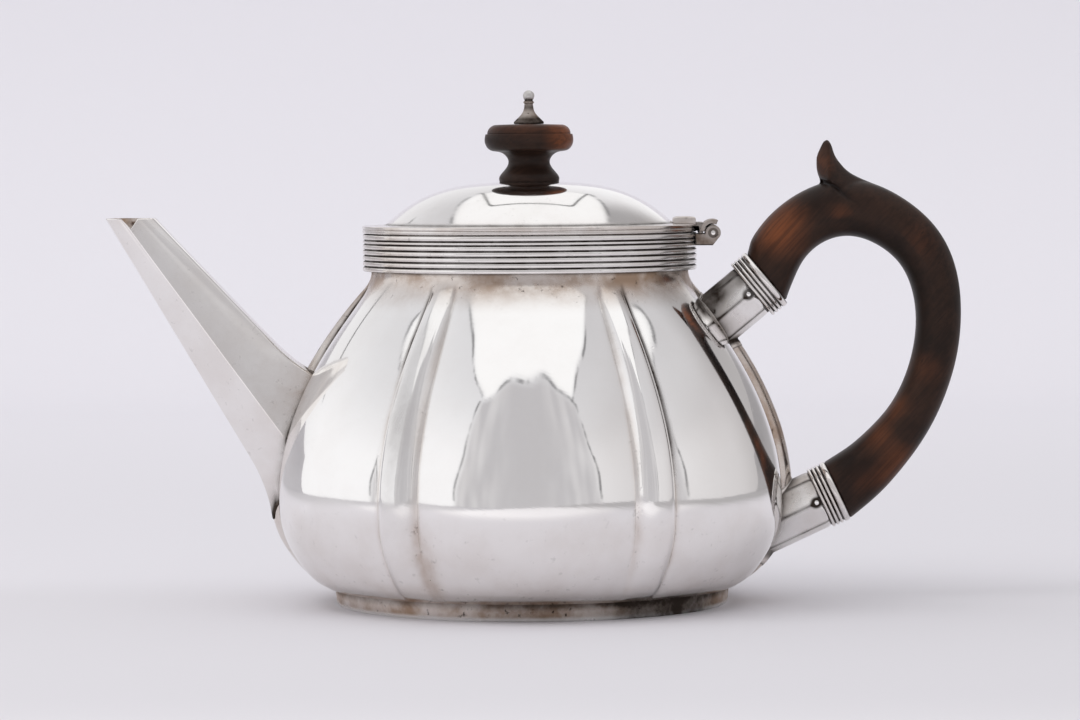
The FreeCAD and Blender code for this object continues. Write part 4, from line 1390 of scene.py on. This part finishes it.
spur_base = start + (26.0, 20.4)
spur_rows = smooth_path([
    (1.0, 1.0, 9.0, 7.2), (0.0, 5.0, 9.0, 7.2), (-1.15, 7.0, 8.35, 7.0), (-2.8, 8.4, 7.0, 6.8),
    (-4.45, 9.7, 5.75, 6.4), (-5.9, 11.1, 4.78, 5.9), (-7.3, 13.6, 3.65, 4.8), (-8.05, 16.1, 2.7, 3.6),
    (-7.95, 18.5, 1.8, 2.5), (-7.9, 19.9, 1.15, 1.7), (-7.85, 20.7, 0.45, 0.7),
], 90)
spur_patch = patch(spur_sections(spur_rows, spur_base, ridge=-7.4), caps=True)
loop_patch = patch(swept(loop_path, loop_along, half_thick, half_wide, loop_ridge))
raw_handle = make_mesh("raw_handle", [loop_patch, spur_patch])
print("points before the remesh:", len(raw_handle.vertices))


# %% Join, smooth and carve
def remeshed(mesh, voxel, rounds):
    """One skin over overlapping shapes: voxel remesh, then smoothing."""
    work = new_object("carving", mesh)
    skin = work.modifiers.new("skin", "REMESH")
    skin.mode, skin.voxel_size = "VOXEL", voxel * MM
    ease = work.modifiers.new("ease", "SMOOTH")
    ease.factor, ease.iterations = 0.5, rounds
    return with_modifiers(work)


crease_cut, crease_spread, crease_rows, crease_fade = 1.7, 0.7, 40, 44
handle_mesh = remeshed(raw_handle, voxel=0.42, rounds=4)
handle_spots = spots_of(handle_mesh)
crease_path = smooth_path(spur_base + [(-9.8, 8.4), (-5.4, 6.6), (-2.4, 3.9), (1.5, 1.6)], crease_rows)
reach = np.linalg.norm(handle_spots[:, None, [0, 2]] - crease_path, axis=2)
nearest = reach.argmin(axis=1)
crease_mask = hill(reach.min(axis=1), 0, crease_spread) * (1 - nearest / crease_fade)
handle_spots[:, 1] -= np.sign(handle_spots[:, 1]) * crease_cut * crease_mask
handle_mesh.vertices.foreach_set("co", (handle_spots * MM).astype(np.float32).ravel())
handle_mesh.update()
handle_mesh.shade_smooth()
print("points of the carved handle:", len(handle_spots))

# %% Worn places and painted shade on the handle, as rows of x, z, spread and strength; a negative strength is painted shade
wear_and_shade_places = np.array([
    (72.4, 110.0, 4.5, 0.75), (78.0, 115.0, 5.0, 0.5), (77.5, 108.5, 5.5, 0.3), (94.0, 115.8, 4.0, 0.35),
    (116.5, 108.0, 5.0, 0.15), (87.2, 131.0, 4.0, 0.3), (118.3, 70.0, 4.5, 0.2), (109.0, 58.0, 4.0, 0.4),
    (103.8, 50.0, 4.5, 0.4), (110.2, 42.5, 4.5, 0.45), (105.5, 37.5, 4.0, 0.35), (99.2, 36.5, 3.5, 0.2),
    (126.5, 93.0, 5.0, -0.3), (127.0, 80.0, 5.0, -0.3), (112.5, 52.5, 3.5, -0.3), (94.0, 123.5, 3.5, -0.3),
    (99.2, 118.5, 4.5, -0.25),
])
reach = np.linalg.norm(handle_spots[:, None, [0, 2]] - wear_and_shade_places[:, :2], axis=2)
handle_wear_and_shade = (wear_and_shade_places[:, 3] * hill(reach, 0, wear_and_shade_places[:, 2])).sum(axis=1)
offset = handle_spots[:, None, [0, 2]] - loop_path[::2]
nearest = np.linalg.norm(offset, axis=2).argmin(axis=1)
offset = np.take_along_axis(offset, nearest[:, None, None], axis=1)[:, 0]
loop_out = np.stack([-loop_along[::2, 1], loop_along[::2, 0]], axis=1)[nearest]
inside = soft_step(-(offset * loop_out).sum(axis=1), 1.0, 6.0)
loop_share = share[::2][nearest]
shaded = soft_step(loop_share, 0.1, 0.28) * soft_step(0.68 - loop_share, 0, 0.2)
# Painted shade: darker on the inner side of the loop from near the upper socket over the top and down the
# back, and in the carved crease between spur and front leg.
handle_wear_and_shade = handle_wear_and_shade - 0.75 * inside * shaded - 1.2 * crease_mask
paint(handle_mesh, "worn_and_shade", np.clip(handle_wear_and_shade, -1, 1))
place("handle", handle_mesh, "pot", ["handle_grip"], handle_wood)

# %% [markdown]
# ## The floor
#
# The pot stands on a pale sheet that sweeps up behind it, as in a small studio. A flat floor and a wall
# would show a line behind the pot, so one line of points is carried across and bends up smoothly. The
# paper's colour is painted lighter and darker by place with a few soft ramps: painted light and shade
# for the uneven fall of light on the sheet.

# %% Floor and backdrop
sheet_half, bend_start, bend_radius = 2600, 1000, 300
sheet_turn = np.linspace(0, np.pi / 2, 24)
sheet_bend = [bend_start + bend_radius * np.sin(sheet_turn), bend_radius - bend_radius * np.cos(sheet_turn)]
sheet_line = np.concatenate([
    [(-sheet_half, 0), (-1200, 0), (-400, 0), (0, 0), (400, 0)],
    np.stack(sheet_bend, axis=1),
    [(bend_start + bend_radius, 480)],
])
sheet_across = np.linspace(-sheet_half, sheet_half, 9)
sheet = np.stack(np.broadcast_arrays(sheet_across, sheet_line[:, :1], sheet_line[:, 1:]), axis=-1)
floor_mesh = make_mesh("floor", [patch(sheet[::-1], around=False)])
floor = new_object("floor", floor_mesh)
print("floor faces:", len(floor_mesh.polygons))

# %% Paper with painted light and shade, its tone mixed by place: axis, where the mix starts and ends in metres, tone
paper_light_and_shade = [
    (1, 0.01, 0.09, (0.745, 0.73, 0.765, 1)),
    (1, -0.22, -0.45, (0.9, 0.885, 0.9, 1)),
    (1, 0.2, 1.2, (0.845, 0.83, 0.87, 1)),
    (0, 0.34, 0.8, (0.46, 0.45, 0.455, 1)),
    (0, -0.34, -0.8, (0.6, 0.59, 0.61, 1)),
]
paper = bpy.data.materials.new("paper")
paper.use_nodes = True
paper_place = node(paper.node_tree, "ShaderNodeSeparateXYZ")
put(coordinates(paper.node_tree, "Object"), paper_place.inputs[0])
paper_colour_with_light = (0.705, 0.69, 0.72, 1)
for axis, mix_start, mix_end, light_tone in paper_light_and_shade:
    paper_mix = ramp(Value(paper_place.outputs[axis]), mix_start, mix_end)
    paper_colour_with_light = mix_colour(paper_mix, paper_colour_with_light, light_tone)
paper_shader = paper.node_tree.nodes["Principled BSDF"]
for label, value in (("Base Color", paper_colour_with_light), ("Roughness", 0.9), ("Specular IOR Level", 0.1)):
    put(value, paper_shader.inputs[label])
floor_mesh.materials.append(paper)
print("paper nodes:", len(paper.node_tree.nodes))

# %% [markdown]
# ## Tent, light and camera
#
# Silver is only as good as what it mirrors, so the world is a soft white tent: a bright strip overhead,
# a grey cloth that hangs from the strip's front edge where the camera looks in, a white wall on the left
# and a greyer one on the right. Real sheets round the pot would do, but each would need its own light.
# Here the colour depends on the direction alone, and only reflections see it; plain light reaches
# everything else. One soft lamp high on the left adds a shadow. The camera stands far off with a long
# lens, which keeps the sides of the pot nearly parallel.


# %% Walls, cloth and lines of the tent
def thin_line(edge, width):
    """1 where a signed distance is about zero, 0 further off than a width."""
    return 1.0 - ramp(abs(edge), width * 0.4, width)


def tent_walls(turn, z):
    """White on the left, grey on the right and behind, darker higher up."""
    left_white, right_grey = (0.98, 0.98, 1.0, 1), (0.63, 0.61, 0.62, 1)
    rear_grey, far_grey = (0.62, 0.61, 0.63, 1), (0.36, 0.35, 0.35, 1)
    not_behind = 1.0 - ramp(turn, 2.5, 2.9)
    right_side = ramp(turn, -0.7, 2.3) * (1.0 - 0.45 * ramp(z, 0.5, 0.75)) * not_behind
    walls = mix_colour(right_side, left_white, right_grey)
    walls = mix_colour(0.28 * ramp(turn, -1.8, -2.6), walls, rear_grey)
    walls = mix_colour(0.6 * ramp(turn, 1.65, 2.4) * not_behind, walls, far_grey)
    shade = mix_colour(ramp(z, 0.25, 0.85), (1, 1, 1, 1), (0.76, 0.76, 0.77, 1))
    return mix_colour(1.0, walls, shade, "MULTIPLY")


def cloth_grey(tree, turn, z, swing):
    """Grey cloth with upright folds, plain in the middle."""
    folds = node(tree, "ShaderNodeCombineXYZ")
    put(6.0 * turn, folds.inputs[0])
    put(2.0 * z, folds.inputs[1])
    pleats = noise(Value(folds.outputs[0]), scale=1.0, detail=1.0)
    fold = ramp(pleats, 0.35, 0.7) * ramp(swing, 0.1, 0.7)
    return mix_colour(fold, (0.555, 0.545, 0.565, 1), (0.70, 0.69, 0.705, 1))


print("walls:", tent_walls.__doc__, "Cloth:", cloth_grey.__doc__)


# %% The tent by direction
def tent_colour(tree):
    """Colour by direction: an overhead strip, a grey cloth round the camera and two side walls.

    A rising direction is the point (x / z, y / z) where it meets a level sheet. The strip is a tapered
    piece of that sheet; the cloth hangs from the strip's front edge, within an angle of the camera.
    Fine broken lines run along the edges of both. One seam bends round the middle of the strip's rear,
    and another runs behind the strip on the left.
    """
    strip_white, line_grey, seam_grey = (1.0, 1.0, 1.01, 1), (0.10, 0.10, 0.105, 1), (0.05, 0.05, 0.05, 1)
    heading = node(tree, "ShaderNodeSeparateXYZ")
    direction = coordinates(tree, "Generated")
    put(direction, heading.inputs[0])
    x, y, z = (Value(part) for part in heading.outputs)
    level = largest(z, 0.02)
    waver = 0.16 * (noise(direction, scale=4.0, detail=0.0) - 0.5) * (1.0 - ramp(y, 0.1, 0.4))
    sideways = x / level
    across = abs(sideways) + waver
    depth = y / level + waver
    turn = math_node("ARCTAN2", x, -y)
    half_strip = smallest(0.72 + 0.08 * depth, largest(0.74 - 0.5 * depth, 0.66 - 0.29 * depth))
    hem = 0.65 + 0.25 * math_node("POWER", smallest(across, 0.7), 2.0)
    strip_front, strip_back = depth + hem, 1.45 - depth
    strip = smallest(half_strip - across, smallest(strip_front, strip_back))
    swing = abs(turn) + 0.5 * waver
    cloth_half = 0.91 - 0.2 * z
    cloth = smallest(cloth_half - swing, -strip_front)
    colour = mix_colour(ramp(cloth, -0.02, 0.08), tent_walls(turn, z), cloth_grey(tree, turn, z, swing))
    colour = mix_colour(ramp(strip, -0.02, 0.06), colour, strip_white)
    broken = ramp(noise(direction, scale=9.0, detail=3.0), 0.35, 0.6) * ramp(z, 0.0, 0.03)
    outline = largest(thin_line(strip, 0.022), thin_line(cloth, 0.02)) * broken
    colour = mix_colour(0.75 * outline, colour, line_grey)
    seam = math_node("SMOOTH_MIN", 2.2 * (0.23 - abs(sideways)), depth - 0.55, 0.12)
    seam = thin_line(seam, 0.022) * ramp(depth, 1.5, 1.4)
    rear_seam = ramp(sideways, -2.4, -2.0) * ramp(sideways, -0.75, -0.9) * thin_line(depth - 1.4, 0.055)
    return mix_colour(0.9 * largest(seam, rear_seam), colour, seam_grey)


world = bpy.data.worlds.new("tent")
bpy.context.scene.world = world
world.use_nodes = True
sky = world.node_tree
rays = sky.nodes.new("ShaderNodeLightPath").outputs
plain_light, backdrop_tone = (0.935, 0.93, 0.945, 1), (0.785, 0.77, 0.81, 1)
sky_colour = mix_colour(Value(rays["Is Glossy Ray"]), plain_light, tent_colour(sky))
sky_colour = mix_colour(Value(rays["Is Camera Ray"]), sky_colour, backdrop_tone)
put(sky_colour, sky.nodes["Background"].inputs["Color"])
print("tent nodes:", len(sky.nodes))

# %% Lamp, a soft disc that reflections don't see
lamp_place, lamp_aim = Vector((-850, -450, 1000)), Vector((0, 0, 60))
light = bpy.data.lights.new("overhead", "AREA")
light.shape = "DISK"
light.size = 800 * MM
light.energy = 3.0
lamp = new_object("overhead", light)
lamp.location = lamp_place * MM
lamp.rotation_euler = (lamp_aim - lamp_place).to_track_quat("-Z", "Y").to_euler()
lamp.visible_glossy = False
print("lamp at", [round(value, 4) for value in lamp.location])

# %% Camera
camera_data = bpy.data.cameras.new("camera")
camera_data.sensor_width = 36.0
camera_data.lens = 145.4
camera = new_object("camera", camera_data)
camera_distance, camera_height, aim_side = 1309, 134.5, 2.85
azimuth, pitch, roll = np.radians([1.25, 2.7, -0.4])
camera_spot = Vector((camera_distance * np.sin(azimuth), -camera_distance * np.cos(azimuth), camera_height))
aim_height = camera_height - camera_distance * np.tan(pitch)
aim = Vector((aim_side * np.cos(azimuth), aim_side * np.sin(azimuth), aim_height))
camera.location = camera_spot * MM
look = (aim - camera_spot).to_track_quat("-Z", "Y").to_matrix().to_4x4()
camera.rotation_euler = (look @ Matrix.Rotation(roll, 4, "Z")).to_euler()
bpy.context.scene.camera = camera
bpy.context.scene.view_settings.view_transform = "Standard"
print("camera at", [round(value, 4) for value in camera.location])
